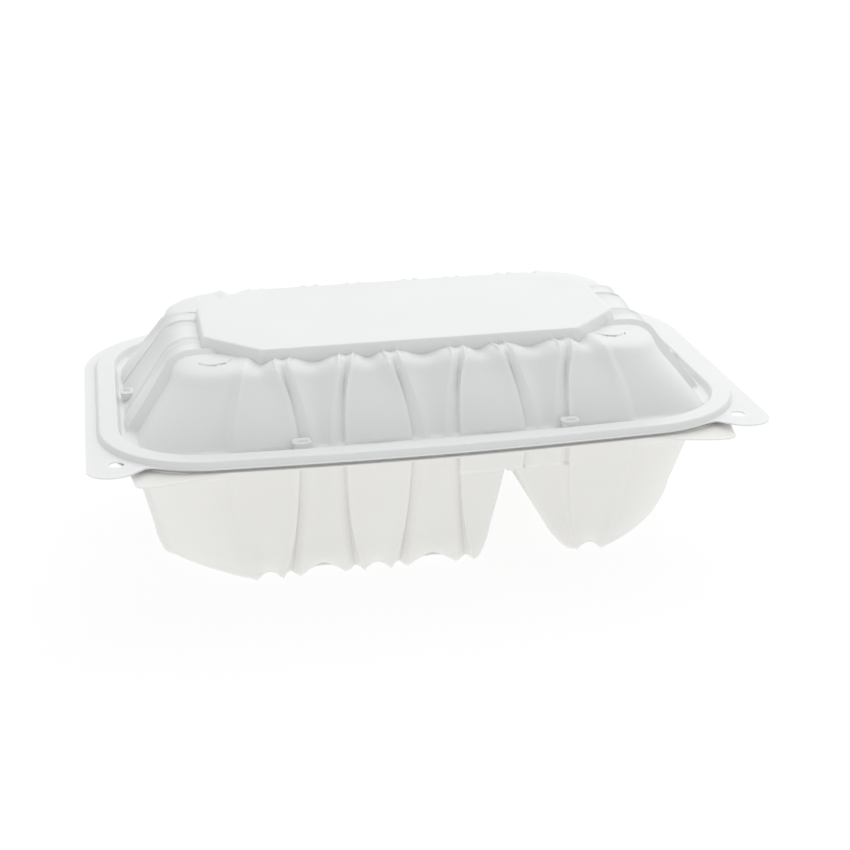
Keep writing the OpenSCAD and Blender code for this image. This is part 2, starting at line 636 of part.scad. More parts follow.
function well_faces(top, ids, from, n, center, flip) = concat(
    ring_band(top, ids, from, flip),
    [for (i = [0:well_rows - 2]) each band(from + i * n, from + (i + 1) * n, n, flip)],
    fan(center, from + (well_rows - 1) * n, n, flip));
function crest_faces(a, b, c, d, flip) = flip ? [[a, c, b], [a, d, c]] : [[a, b, c], [a, c, d]];
function base_skin_faces(o, center, flip) =
    let (crest = o + 2 * base_count)
    concat(
        band(o, o + base_count, base_count, flip),
        band(o + base_count, crest, base_count, flip),
        zip(base_points, o, base_count, o + base_rim_at, rim_count, !flip),
        rim_faces(o + base_rim_at, !flip),
        well_faces(crest, left_ids, o + left_at, left_count, center, flip),
        well_faces(crest, right_ids, o + right_at, right_count, center + 1, flip),
        crest_faces(crest + left_front, crest + right_front, crest + right_back, crest + left_back, flip));
base_faces = concat(
    base_skin_faces(0, 2 * base_skin, true),
    base_skin_faces(base_skin, 2 * base_skin + 2, false),
    edge_faces(base_rim_at, base_skin + base_rim_at, false));

module skins(points, faces) {
    polyhedron(points = points, faces = [for (f = faces) [f[2], f[1], f[0]]]);
}

// Lid: shell, stacking lugs at the foot of its walls, tab holes and vent slits
lug_root = 6;
dimple_depth = 0.5;

// A lug reaching outwards along +Y from the foot of a wall
module lug(reach) {
    top = lug_height + sheet / 2;
    translate([-lug_side / 2, -lug_root, trough_z + sheet / 2])
        difference() {
            cube([lug_side, lug_root + reach, top]);
            translate([lug_side / 2, lug_root + reach / 2, top - dimple_depth])
                cylinder(d = dimple, h = 2 * dimple_depth);
        }
}

module lugs() {
    inner = bead_foot + lug_clear;
    for (side = [-1, 1]) {
        translate([side * mark_3[1], -foot_b, 0])
            rotate(180)
                lug(bead_front + bow(mark_3[1]) - inner - foot_b);
        translate([side * mark_3[1], foot_b, 0])
            lug(bead_back - inner - foot_b);
        translate([side * foot_a, 0, 0])
            rotate(-90 * side)
                lug(bead_out - inner - foot_a);
    }
}

// A crescent slit through a smooth corner
module vent(x, y) {
    through = 8;
    translate([x, y, bend_z - corner_recess - through])
        rotate(-90 - vent_angle / 2)
            rotate_extrude(angle = vent_angle)
                translate([vent_radius - vent_slit / 2, 0])
                    square([vent_slit, 2 * through]);
}

module lid_solid() {
    difference() {
        union() {
            skins(lid_points, lid_faces);
            lugs();
        }
        for (side = [-1, 1]) {
            translate([side * (end_x - hole_inset_x), front_y + hole_inset_y, lid_under - 1])
                cylinder(d = hole_diameter, h = sheet + 2);
            vent(side * vent_x, -vent_y[0]);
            vent(side * vent_x, vent_y[1]);
        }
    }
}

module lid() {
    color([0.93, 0.94, 0.94])
        lid_solid();
}

// Base: shell with the folded strip along its back
module fold() {
    half = end_x - bead_radius - lip_width - 2;
    translate([-half, hinge_y, hinge_z])
        rotate([0, 90, 0])
            cylinder(r = fold_radius, h = 2 * half);
}

module base_tray() {
    color([0.96, 0.96, 0.94])
        union() {
            skins(base_points, base_faces);
            fold();
        }
}

translate([0, shift_y, 0]) base_tray();
translate([0, shift_y, 0]) lid();
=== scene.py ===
import math
import bpy
import numpy as np
from mathutils import Matrix, Vector
from mathutils.bvhtree import BVHTree
from mathutils.geometry import delaunay_2d_cdt


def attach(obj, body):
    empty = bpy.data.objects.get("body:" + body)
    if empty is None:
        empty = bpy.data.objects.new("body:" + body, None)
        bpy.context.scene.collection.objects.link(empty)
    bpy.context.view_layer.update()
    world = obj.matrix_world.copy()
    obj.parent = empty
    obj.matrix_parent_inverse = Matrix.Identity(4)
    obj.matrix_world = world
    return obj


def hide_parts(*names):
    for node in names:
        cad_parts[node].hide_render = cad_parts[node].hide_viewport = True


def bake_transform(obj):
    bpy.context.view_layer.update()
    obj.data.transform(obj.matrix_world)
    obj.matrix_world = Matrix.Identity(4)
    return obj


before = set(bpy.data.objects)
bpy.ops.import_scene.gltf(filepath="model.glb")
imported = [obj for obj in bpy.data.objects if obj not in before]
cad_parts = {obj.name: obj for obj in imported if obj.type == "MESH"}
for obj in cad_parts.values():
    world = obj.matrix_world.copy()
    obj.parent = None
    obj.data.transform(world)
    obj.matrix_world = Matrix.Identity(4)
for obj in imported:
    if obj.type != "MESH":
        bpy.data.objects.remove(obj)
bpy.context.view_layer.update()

toMetres = 0.001
shiftY = -0.05    # the container's box is centred on the origin

# Lengths are in millimetres, angles in degrees; the front is -Y and +X the right-hand end
rim = dict(
    endX=114.7, frontY=73.0, backY=73.75,    # edges of the flange
    hingeY=74.4,    # the fold's axis
    lip=3.8, frontLip=0.4,    # flat lip outside the bead, and its narrow front part
    bow=2.8, bowReach=86,    # how far the front bows out, and over which half length
    backCorner=40.8, straight=44,    # the back corners, and where the straight edges stop
    beadTop=6.3, beadHeight=2.0, beadLean=0.9,    # raised bead
    beadRadius=37, beadRound=0.75,    # plan corner and edge rounding of the bead
    baseTop=50.3, lidUnder=51.1,    # the two flanges
    sheet=0.6, nest=0.5,    # the sheet, and the clearance between the beads
)
flutes = dict(
    middle=(11.6, 7.6), petal=(15.6, 23.5),    # widths at the panel and at the rim
    outer=(22.0, 14.2), last=(11.8, 22.0),
    endMiddle=(10.1, 15.8), endPetal=(11.4, 14.7),    # the same at the ends
    ridge=2.65,    # from the last flute to the corner's start
    shares=(0, 0.22, 0.62, 0.8, 1),    # from the rim to the panel
    steepSide=(0.7, 0.75, 1.0, 1.9, 3.2),    # from a notch's bottom to the ridge by a petal
    gentleSide=(4.2, 3.8, 3.0, 2.8, 3.2),    # the same on the wide flute's side
    depths=(0.45, 0.55, 0.85, 1, 1),    # how deep the notches are
    endCrest=0.3, band=0.35,    # ridges at the ends and beside a petal
    finger=0.5, saddle=0.4,    # the notch at the riser: two fingers and what lies between
    flatter=0.3,    # share of an end's depth that is left at the riser
    endNotch=0.7,    # the notches at the ends are narrower
    sharper=1.7,    # the long sides' flutes have broader ridges at the riser
    crestShares=(0.2, 0.15),    # widths of the ends' ridges, in the notch and in the flute
    cornerStart=0.35,    # share of a corner's depth that it has at the long side
    stepStart=0.2, stepLength=0.75,    # where the step beside a corner lies on a fluted wall
)
middleGap = 2    # outlines leave this gap to the middle, where their halves meet


def mix(a, b, t):
    return a + (b - a) * t


def smooth(t):
    t = np.clip(t, 0, 1)
    return t * t * (3 - 2 * t)


# Every column is one position along the flutes that runs from the panel to the rim
class Columns:
    names = ("kind", "sx", "sy", "wide", "rim", "steep", "gentle", "notch",
             "petal", "hollow", "broad", "turn", "side", "way")

    def __init__(self, rows):
        table = np.array(rows, float)
        for i, name in enumerate(self.names):
            setattr(self, name, table[:, i])
        self.count = len(table)


longKind, endKind, cornerKind, stepKind = 0, 1, 2, 3

# The bead's outer foot
outX, outBack = rim["endX"] - rim["lip"], rim["backY"] - rim["lip"]
outFront = rim["frontY"] - rim["frontLip"] - rim["bow"]


def cumulative(pairs):
    return np.cumsum(np.array(pairs), axis=0)


def halfMarks(edges, counts):
    # (wide, rim, steep, gentle, notch, petal, hollow, broad) from the middle outwards
    marks = []
    for i in range(counts["middle"]):
        u = i / counts["middle"]
        marks.append((*(edges[0] * u), 0, -u, 0, 0, math.cos(math.pi / 2 * u), 1))
    broad = 1
    for k, edge in enumerate(edges[:-1]):
        for i in range(counts["notch"]):
            u = -1 + 2 * i / counts["notch"]
            onBroad = broad if u < 0 else 1 - broad
            steep, gentle = (0, u) if onBroad else (u, 0)
            marks.append((*edge, steep, gentle, 1, 1 - onBroad, 0, onBroad))
        broad = 1 - broad
        last = k + 2 == len(edges)
        steps = counts["flute"][k]
        for i in range(steps):
            u = i / steps
            place = mix(edge, edges[k + 1], u)
            push = 1 - u if last else 1 - 2 * u
            steep, gentle = (0, push) if broad else (push, 0)
            marks.append((*place, steep, gentle, 0, 0, math.sin(math.pi * u), broad))
    marks.append((*edges[-1], 0, 0, 0, 0, 0, broad))
    return marks


# Depth across a notch: a crease low on the wall, a saddle between two fingers at the riser
def notchDepth(c, l):
    a = np.abs(c.steep + c.gentle)    # 0 at the bottom, 1 at the edges
    deepest = l["notch"] * np.interp(l["share"], flutes["shares"], flutes["depths"])
    isEnd = c.kind == endKind
    steepWall, gentleWall, endWall = (1 - a ** 1.6) ** 0.8, (1 - a) ** 1.5, (1 - a ** 0.9) ** 1.2
    low = deepest * np.where(c.petal > 0.5, steepWall, np.where(isEnd, endWall, gentleWall))
    saddle = flutes["saddle"] * np.cos(math.pi * np.minimum(a, 0.5)) ** 2
    saddle -= flutes["finger"] * np.sin(math.pi * np.clip((a - 0.5) / 0.5, 0, 1)) ** 2
    crest = flutes["endCrest"] * np.exp(-((1 - a) / flutes["crestShares"][0]) ** 2)
    atEnd = low * mix(1, flutes["flatter"], l["round"]) - crest
    low = low - flutes["band"] * c.petal * a ** 2
    return np.where(isEnd, atEnd, mix(low, saddle, l["round"]))


def fluteDepth(c, l):
    isLong, isPetal = c.kind == longKind, c.broad < 0.5
    power = np.where(isLong, mix(1.0, flutes["sharper"], l["round"]), 1.0)
    hollow = np.maximum(c.hollow, 0) ** power
    depth = hollow * np.where(isPetal, l["narrow"], l["broad"])
    band = flutes["band"] * (1 - l["round"]) * (1 - np.clip(c.hollow, 0, 1)) ** 2
    crest = flutes["endCrest"] * np.exp(-(c.hollow / flutes["crestShares"][1]) ** 2)
    atEnd = depth * mix(1, flutes["flatter"], l["round"]) - crest
    return np.where(c.kind == endKind, atEnd, depth - np.where(isLong & isPetal, band, 0))


longEdges = cumulative([flutes["middle"], flutes["petal"], flutes["outer"], flutes["last"]])
endEdges = cumulative([flutes["endMiddle"], flutes["endPetal"]])
wallCounts = dict(middle=8, notch=12, flute=(11, 13, 9))
endCounts = dict(middle=7, notch=12, flute=(9,))
cornerCount, stepCount = 22, 5
longHalf = halfMarks(longEdges, wallCounts)
endHalf = halfMarks(endEdges, endCounts)
plainHalf = [(mark, 0, 0) for mark in longHalf]    # side and way are 0 away from the divider


def longColumns(sx, sy, half):
    return [(longKind, sx, sy, *mark, 0, side, way) for mark, side, way in half]


def endColumns(sx, sy):
    rows = [(endKind, sx, sy, *mark, 0, 0, 0) for mark in endHalf[::-1]]
    return rows + [(endKind, sx, -sy, *mark, 0, 0, 0) for mark in endHalf[1:]]


def cornerColumns(sx, sy, forwards):
    # turn and way go from the long side to the end, way over the steps beside the corner too
    n, rows = 2 * stepCount + cornerCount, []
    for k in range(n):
        i = k - stepCount if forwards else n - 1 - stepCount - k
        kind = cornerKind if 0 <= i < cornerCount else stepKind
        turn, way = i / (cornerCount - 1), (k + 1) / (n + 1)
        rows.append((kind, sx, sy, *(0,) * 8, turn, 0, way if forwards else 1 - way))
    return rows


def loopOfColumns(rightHalf):
    # counterclockwise from the middle of the front
    rows = longColumns(1, -1, rightHalf) + cornerColumns(1, -1, True) + endColumns(1, -1)
    rows += cornerColumns(1, 1, False) + longColumns(1, 1, rightHalf[::-1])
    rows += longColumns(-1, 1, plainHalf[1:]) + cornerColumns(-1, 1, True) + endColumns(-1, 1)
    rows += cornerColumns(-1, -1, False) + longColumns(-1, -1, plainHalf[:0:-1])
    return Columns(rows)


noFlutes = (0, 0, 0, 0)


# One level of a wall. a and b are its half sizes, share is how near it is to the panel, lean is
# how far a flute goes inwards and down, and deep holds notch, narrow, broad and corner
def level(z, a, b, cut, square, share, lean, deep, draw=1.0):
    return dict(z=z, a=a, b=b, cutX=cut[0], cutY=cut[1], square=square, share=share,
                out=lean[0], up=lean[1], notch=deep[0], narrow=deep[1], broad=deep[2],
                corner=deep[3], draw=draw, round=0)


def longY(l, x):
    return l["b"] - np.maximum(0, x - (l["a"] - l["cutX"])) * l["cutY"] / l["cutX"]


def endX(l, y):
    return l["a"] - np.maximum(0, y - (l["b"] - l["cutY"])) * l["cutX"] / l["cutY"]


def markAt(c, share):
    steep = np.interp(share, flutes["shares"], flutes["steepSide"])
    gentle = np.interp(share, flutes["shares"], flutes["gentleSide"])
    narrower = np.where(c.kind == endKind, flutes["endNotch"], 1)
    return np.abs(mix(c.rim, c.wide, share) + narrower * (c.steep * steep + c.gentle * gentle))


def placeWall(l, c):
    points = np.zeros((c.count, 3))
    fluted = 1 if l["notch"] else 0
    at = l["draw"] * markAt(c, l["share"])
    depth = np.where(c.notch > 0.5, notchDepth(c, l), fluteDepth(c, l)) * fluted
    isLong, isEnd, isCorner = c.kind == longKind, c.kind == endKind, c.kind == cornerKind
    inwards, z = depth * l["out"], l["z"] - depth * l["up"]
    along = np.stack([c.sx * at, c.sy * (longY(l, at) - inwards), z], 1)
    across = np.stack([c.sx * (endX(l, at) - inwards), c.sy * at, z], 1)
    points[isLong], points[isEnd] = along[isLong], across[isEnd]

    # a corner runs from p beside the long side's last flute to q beside the end's, round o
    ridge, endRidge = flutes["ridge"], flutes["endNotch"] * flutes["ridge"]
    xo = l["draw"] * (mix(longEdges[-1][1], longEdges[-1][0], l["share"]) + ridge)
    yo = l["draw"] * (mix(endEdges[-1][1], endEdges[-1][0], l["share"]) + endRidge)
    t = c.turn[isCorner]
    recess = l["corner"] * mix(flutes["cornerStart"], 1, t)
    p = np.stack([np.full(t.shape, xo), longY(l, xo) - recess * l["out"]], 1)
    q = np.stack([endX(l, yo) - recess * l["out"], np.full(t.shape, yo)], 1)
    o = np.stack([p[:, 0], q[:, 1]], 1)
    power = 2 / l["square"]
    toP, toQ = np.cos(math.pi / 2 * t) ** power, np.sin(math.pi / 2 * t) ** power
    s = o + (p - o) * toP[:, None] + (q - o) * toQ[:, None]
    sx, sy = c.sx[isCorner], c.sy[isCorner]
    points[isCorner] = np.stack([sx * s[:, 0], sy * s[:, 1], l["z"] - recess * l["up"]], 1)
    fillSteps(points, c, fluted)
    return points


# The columns between a corner and the flute beside it; where the wall is fluted, the step keeps
# a little away from the flute
def fillSteps(points, c, fluted):
    i = 0
    while i < c.count:
        if c.kind[i] != stepKind:
            i += 1
            continue
        a, b = points[i - 1], points[(i + stepCount) % c.count]
        fromFlute = c.kind[i - 1] != cornerKind
        for k in range(stepCount):
            t = (k + 1) / (stepCount + 1)
            t = t if fromFlute else 1 - t
            late = smooth((t - flutes["stepStart"]) / flutes["stepLength"])
            t = mix(smooth(t), late, fluted)
            points[i + k] = mix(a, b, t if fromFlute else 1 - t)
        i += stepCount


# A curve through the given levels, column by column
def throughLevels(rings, steps):
    rings = np.array(rings)
    apart = np.linalg.norm(np.diff(rings, axis=0), axis=2).mean(1)
    knots = np.concatenate([[0], np.cumsum(apart)])
    gap = np.diff(knots)[:, None, None]
    slope = np.diff(rings, axis=0) / gap
    tangents = np.zeros_like(rings)
    tangents[1:-1] = (slope[:-1] * gap[1:] + slope[1:] * gap[:-1]) / (gap[1:] + gap[:-1])
    tangents[0] = 1.5 * slope[0] - 0.5 * tangents[1]
    tangents[-1] = 1.5 * slope[-1] - 0.5 * tangents[-2]
    out = []
    for k, n in enumerate(steps):
        h = knots[k + 1] - knots[k]
        for i in range(n):
            t = i / n
            stay, leave = 2 * t ** 3 - 3 * t ** 2 + 1, t ** 3 - 2 * t ** 2 + t
            come, arrive = 3 * t ** 2 - 2 * t ** 3, t ** 3 - t ** 2
            out.append(stay * rings[k] + leave * h * tangents[k]
                       + come * rings[k + 1] + arrive * h * tangents[k + 1])
    out.append(rings[-1])
    return out


# A polyline of (inset, height, radius) with rounded corners
def roundedPath(corners, steps=5):
    path = []
    for i, (x, z, radius) in enumerate(corners):
        here = np.array([x, z], float)
        if radius == 0 or i in (0, len(corners) - 1):
            path.append(here)
            continue
        before, after = np.array(corners[i - 1][:2], float), np.array(corners[i + 1][:2], float)
        u, v = before - here, after - here
        lu, lv = np.linalg.norm(u), np.linalg.norm(v)
        half = math.acos(np.clip(u @ v / lu / lv, -1, 1)) / 2
        cut = min(radius / math.tan(half), 0.48 * lu, 0.48 * lv)
        a, b = here + u / lu * cut, here + v / lv * cut
        for k in range(steps + 1):
            t = k / steps
            path.append((1 - t) ** 2 * a + 2 * t * (1 - t) * here + t * t * b)
    return path


# How far the front edge bows out
def bow(x):
    return rim["bow"] * np.maximum(0, 1 - (x / rim["bowReach"]) ** 2) ** 1.5


# A ring of the rim, column by column, at an inset from the bead's outer foot
def rimRing(c, inset, z):
    a = outX - inset
    r = rim["beadRadius"] - inset
    points = np.zeros((c.count, 3))
    at = markAt(c, 0)
    for i in range(c.count):
        sy = c.sy[i]
        b = (outFront if sy < 0 else outBack) - inset
        if c.kind[i] == longKind:
            x, y = at[i], b
        elif c.kind[i] == endKind:
            x, y = a, at[i]
        else:
            x, y = cornerPoint(c.way[i], a, b, r)
        if sy < 0 and c.kind[i] != endKind:
            y += bow(x)
        points[i] = (c.sx[i] * x, sy * y, z)
    return points


# Corner of the rim's plan with its two straight stretches
def cornerPoint(t, a, b, r):
    x0, y1 = longEdges[-1][1], endEdges[-1][1]
    straight, arc, last = a - r - x0, math.pi / 2 * r, b - r - y1
    s = t * (straight + arc + last)
    if s < straight:
        return x0 + s, b
    s -= straight
    if s < arc:
        return a - r + r * math.sin(s / r), b - r + r * math.cos(s / r)
    return a, b - r - (s - arc)


# Smooth outline through a few points
def spline(points, steps=6):
    p = np.array(points, float)
    out = []
    for i in range(len(p) - 1):
        a, b = p[i], p[i + 1]
        before = p[i - 1] if i else 2 * a - b
        after = p[i + 2] if i + 2 < len(p) else 2 * b - a
        for k in range(steps):
            t = k / steps
            out.append(0.5 * (2 * a + (b - before) * t
                              + (2 * before - 5 * a + 4 * b - after) * t * t
                              + (3 * a - before - 3 * b + after) * t ** 3))
    out.append(p[-1])
    return np.array(out)


def arcPoints(cx, cy, r, first, last, steps):
    angles = np.radians(np.linspace(first, last, steps + 1))
    return np.stack([cx + r * np.cos(angles), cy + r * np.sin(angles)], 1)


# Right half of an outline, front to back, mirrored into a closed loop
def closeOutline(half):
    half = np.array(half)
    return np.concatenate([half, (half * (-1, 1))[::-1]])


def inside(points, loop):
    x, y = points[:, 0][:, None], points[:, 1][:, None]
    ax, ay = loop[:, 0], loop[:, 1]
    bx, by = np.roll(ax, -1), np.roll(ay, -1)
    cross = (bx - ax) * (y - ay) / np.where(by == ay, 1e-12, by - ay) + ax
    return (((ay > y) != (by > y)) & (x < cross)).sum(1) % 2 == 1


# Flat region inside an outline and outside its holes, as triangles
def fillFlat(outline, holes=(), spacing=0):
    loops = [np.array(loop)[:, :2] for loop in (outline, *holes)]
    points, edges, first = [], [], 0
    for loop in loops:
        points += [Vector(p) for p in loop]
        edges += [(first + i, first + (i + 1) % len(loop)) for i in range(len(loop))]
        first += len(loop)
    if spacing:
        low, high = loops[0].min(0), loops[0].max(0)
        spots = [np.arange(low[i], high[i], spacing) for i in (0, 1)]
        grid = np.stack([g.ravel() for g in np.meshgrid(*spots)], 1)
        grid = grid[inside(grid, loops[0])]
        for h in loops[1:]:
            grid = grid[~inside(grid, h)]
        everything = np.concatenate(loops)
        gaps = np.array([np.min(np.sum((everything - g) ** 2, 1)) for g in grid])
        points += [Vector(g) for g in grid[gaps > (spacing * 0.5) ** 2]]
    found = delaunay_2d_cdt(points, edges, [], 1, 1e-7)    # 1: only what lies inside the outline
    flat = np.array([tuple(p) for p in found[0]])
    faces = np.array(found[2])
    middle = flat[faces].mean(1)
    keep = np.ones(len(faces), bool)
    for h in loops[1:]:
        keep &= ~inside(middle, h)
    return flat, faces[keep]


# A skin of quads and triangles that grows ring by ring and gets its thickness at the end
class Skin:
    def __init__(self):
        self.points, self.faces = [], []

    def add(self, points):
        start = len(self.points)
        self.points += [tuple(p) for p in points]
        return start

    def rings(self, rings, closed=True):
        starts = [self.add(r) for r in rings]
        n = len(rings[0])
        for a, b in zip(starts, starts[1:]):
            self.faces += [(a + i, b + i, b + (i + 1) % n, a + (i + 1) % n)
                           for i in range(n if closed else n - 1)]

    def caps(self, n, flip=False):
        # closes the first and the last ring, of n points each
        total = len(self.points)
        caps = [tuple(range(n)), tuple(range(total - n, total))[::-1]]
        self.faces += [cap[::-1] for cap in caps] if flip else caps

    def flat(self, found, height, up=True):
        flat, faces = found
        z = height(flat) if callable(height) else np.full(len(flat), height)
        start = self.add(np.column_stack([flat, z]))
        self.faces += [tuple(start + (f if up else f[::-1])) for f in faces]

    def welded(self, limit=1e-4):
        points = np.array(self.points)
        cells = np.round(points / limit).astype(np.int64)
        where, back = np.unique(cells, axis=0, return_index=True, return_inverse=True)[1:]
        back = back.ravel()
        faces = []
        for f in self.faces:
            g = [back[i] for i in f]
            g = [v for k, v in enumerate(g) if v != g[k - 1]]
            if len(g) > 2:
                faces.append(tuple(g))
        return points[where], faces


def meshFrom(name, points, faces):
    mesh = bpy.data.meshes.new(name)
    mesh.from_pydata((np.array(points) + (0, shiftY, 0)) * toMetres, [], faces)
    mesh.validate()
    mesh.update()
    return mesh


def thicken(points, faces, thickness):
    mesh = bpy.data.meshes.new("skin")
    mesh.from_pydata(points, [], faces)
    normals = np.zeros(len(points) * 3)
    mesh.vertex_normals.foreach_get("vector", normals)
    bpy.data.meshes.remove(mesh)
    inner = points - normals.reshape(-1, 3) * thickness
    n = len(points)
    edges = dict.fromkeys((v, f[(k + 1) % len(f)]) for f in faces for k, v in enumerate(f))
    walls = [(b, a, a + n, b + n) for a, b in edges if (b, a) not in edges]
    back = [tuple(v + n for v in f[::-1]) for f in faces]
    return np.concatenate([points, inner]), faces + back + walls


# How sharply the surface bends at each point, one over millimetres, positive on ridges
def markBends(mesh):
    n = len(mesh.vertices)
    place, normal = np.zeros(3 * n), np.zeros(3 * n)
    mesh.vertices.foreach_get("co", place)
    mesh.vertex_normals.foreach_get("vector", normal)
    place, normal = place.reshape(-1, 3) / toMetres, normal.reshape(-1, 3)
    ends = np.zeros(2 * len(mesh.edges), int)
    mesh.edges.foreach_get("vertices", ends)
    total, length = np.zeros(n), np.full(n, 1e-6)
    for a, b in (ends.reshape(-1, 2).T, ends.reshape(-1, 2).T[::-1]):
        gap = place[a] - place[b]
        size = np.maximum(np.linalg.norm(gap, axis=1), 1e-6)
        np.add.at(total, a, (gap * normal[a]).sum(1) / size)
        np.add.at(length, a, size)
    bend = mesh.attributes.new("bend", "FLOAT", "POINT")
    bend.data.foreach_set("value", 2 * total / length)


def addPiece(name, mesh, body, angle=34):
    mesh.materials.clear()    # a cut mesh comes with an empty slot
    markBends(mesh)
    piece = bpy.data.objects.new(name, mesh)
    bpy.context.scene.collection.objects.link(piece)
    mesh.shade_smooth()
    mesh.set_sharp_from_angle(angle=math.radians(angle))
    if body:
        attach(piece, body)
    return piece


print("stage: lid shell")
lidShape = dict(
    height=78.0, panelA=72.8, panelB=35.2, cut=(18.0, 18.4), rise=3.3, edge=0.9,    # raised panel
    draw=0.93, footDraw=0.97,    # the flutes' marks move inwards at the panel's edge and its foot
    shift=0.9, flare=0.9,    # how far the panel lies behind the middle, and its wall leans out
    footA=100.8, footB=58.0, shoulder=8.8, drop=2.2, trough=0.4,    # walls, and the trough's depth
    notch=2.4, narrow=1.8, broad=2.1, bulge=0.9, corner=3.2,    # depths of the flutes
    backStart=22, backLength=14,    # the ridges reach further out at the back
    backOut=(2.5, 4, 1.8), backUp=(0.55, 0.95, 0.5),    # by so much on the three shoulder levels
    thickness=0.5, grid=3,    # the sheet, and the spacing of points inside the flange
)
lidUpper = rim["lidUnder"] + rim["sheet"]
lidTrough = rim["lidUnder"] - lidShape["trough"] + rim["sheet"]


def lidLevels():
    s = lidShape
    ridgeTop = s["height"] - s["rise"]
    bend = ridgeTop - s["drop"]
    grow = (s["footA"] - s["panelA"]) / (s["footB"] - s["panelB"])
    cut, w = np.array(s["cut"]), s["shoulder"]

    def deep(narrow, broad, corner):
        return s["notch"], narrow, s["broad"] * broad, s["corner"] * corner

    # height, how far out, share of the panel's cut, squareness, share of the way to the panel
    def shoulder(z, out, cuts, square, share, lean, depths):
        return level(z, s["panelA"] + out * grow, s["panelB"] + out, cut * cuts,
                     square, share, lean, depths)

    top = []    # the panel's rounded edge
    for g in np.radians((0, 18, 36, 54, 72)):
        z = s["height"] - s["edge"] * (1 - math.cos(g))
        inset = s["edge"] * (0.6 - 0.7 * math.sin(g))
        top.append(level(z, s["panelA"] - inset, s["panelB"] - inset, cut, 1, 1,
                         (0, 1), noFlutes, s["draw"]))
    walls = [    # the riser's foot, three levels of the shoulder, and two down the wall
        level(ridgeTop, s["panelA"] + s["flare"], s["panelB"] + s["flare"], cut, 1, 1,
              (0.25, 0.97), deep(s["narrow"], 1, 0.36), s["footDraw"]),
        shoulder(ridgeTop - s["drop"] * 0.12, w * 0.8, 0.95, 1.35, 0.92,
                 (0.15, 1), deep(s["narrow"], 1, 0.42)),
        shoulder(bend + 0.5, w + 1, 0.8, 1.9, 0.8,
                 (0.5, 0.87), deep(s["narrow"] * 0.9, 1, 0.6)),
        shoulder(bend - 3.2, w + 3.3, 0.7, 2.3, 0.62,
                 (0.85, 0.5), deep(s["narrow"] * 0.5, 0.9, 0.9)),
        level(mix(lidTrough - rim["sheet"], bend, 0.48), mix(s["footA"], s["panelA"], 0.25),
              mix(s["footB"], s["panelB"], 0.25), cut * 0.6, 3, 0.22,
              (0.87, 0.45), deep(-s["bulge"] * 0.6, 0.6, 0.9)),
        level(lidTrough + 1, s["footA"] - 0.3, s["footB"] - 0.3, cut * 0.5, 4, 0,
              (0.9, 0.3), deep(-s["bulge"], 0.4, 1)),
    ]
    last = level(lidTrough, s["footA"] + 0.4, s["footB"] + 0.4, cut * 0.5, 2.6, 0,
                 (0, 1), noFlutes)
    for l in walls:
        l["round"] = smooth((l["share"] - 0.7) / 0.25)
    for l, out, up in zip(walls[1:4], s["backOut"], s["backUp"]):
        l["backOut"], l["backUp"] = out, up
    return top, walls, last


def placeLid(l):
    points = placeWall(l, lidColumns)
    points[:, 1] += l["share"] * lidShape["shift"]
    back = smooth((points[:, 1] - lidShape["backStart"]) / lidShape["backLength"])
    points[:, 1] += back * l.get("backOut", 0)
    points[:, 2] += back * l.get("backUp", 0)
    return points


lidColumns = loopOfColumns(plainHalf)
top, walls, last = lidLevels()
panelRings = [placeLid(l) for l in top]
panelField = panelRings[0] * (0.985, 0.97, 1)    # where the panel's flat field begins
riser = [mix(panelRings[-1], placeLid(walls[0]), t) for t in (0.12, 0.35, 0.6, 0.85, 0.96)]
wallRings = throughLevels([placeLid(l) for l in walls], (8, 8, 8, 10, 10))
footRings = [mix(wallRings[-1], placeLid(last), t) for t in (0.5, 1)]
beadInner = rim["beadTop"] + 2 * rim["beadLean"]
beadZ = lidUpper + rim["beadHeight"]
lidBead = roundedPath([    # inset, height and rounding of each corner
    (beadInner + 1.2, lidTrough, 0), (beadInner, lidTrough, 0.5),
    (beadInner - rim["beadLean"], beadZ, rim["beadRound"]),
    (rim["beadLean"], beadZ, rim["beadRound"]), (0, lidUpper, 0.4), (-0.25, lidUpper, 0)])
beadRings = [rimRing(lidColumns, inset, z) for inset, z in lidBead]
lidSkin = Skin()
lidSkin.rings([panelField] + panelRings + riser + wallRings + footRings + beadRings)
lidSkin.flat(fillFlat(panelField), lidShape["height"])

tabs = dict(
    setback=2.1, radius=8, length=20, hole=5, holeX=9.7, holeY=12.8,
    dip=6, root=((0.2, 1), (3, 0.72), (6, 0.3), (9, 0.05)),    # along the tab, share of the dip
)


def alongFront(a, front, radius, stop):
    # the front edge from the middle, and round its corner up to a turn
    turns = np.radians(np.linspace(0, stop, 10))
    straight = np.linspace(middleGap, a - radius - 2, 26)
    x = np.concatenate([straight, a - radius + radius * np.sin(turns)])
    y = np.concatenate([np.full(26, front), front - radius + radius * np.cos(turns)])
    return np.stack([x, -y - bow(x)], 1)


def endAndBack(x, y, start, count):
    # the straight end, the back corner and the back edge up to the middle
    radius, straight = rim["backCorner"], rim["straight"]
    end = [(x, v) for v in np.linspace(start, y - straight, count)]
    back = [(u, y) for u in np.linspace(x - straight, middleGap, 20)]
    return np.concatenate([end, arcPoints(x - radius, y - radius, radius, 0, 90, 40), back])


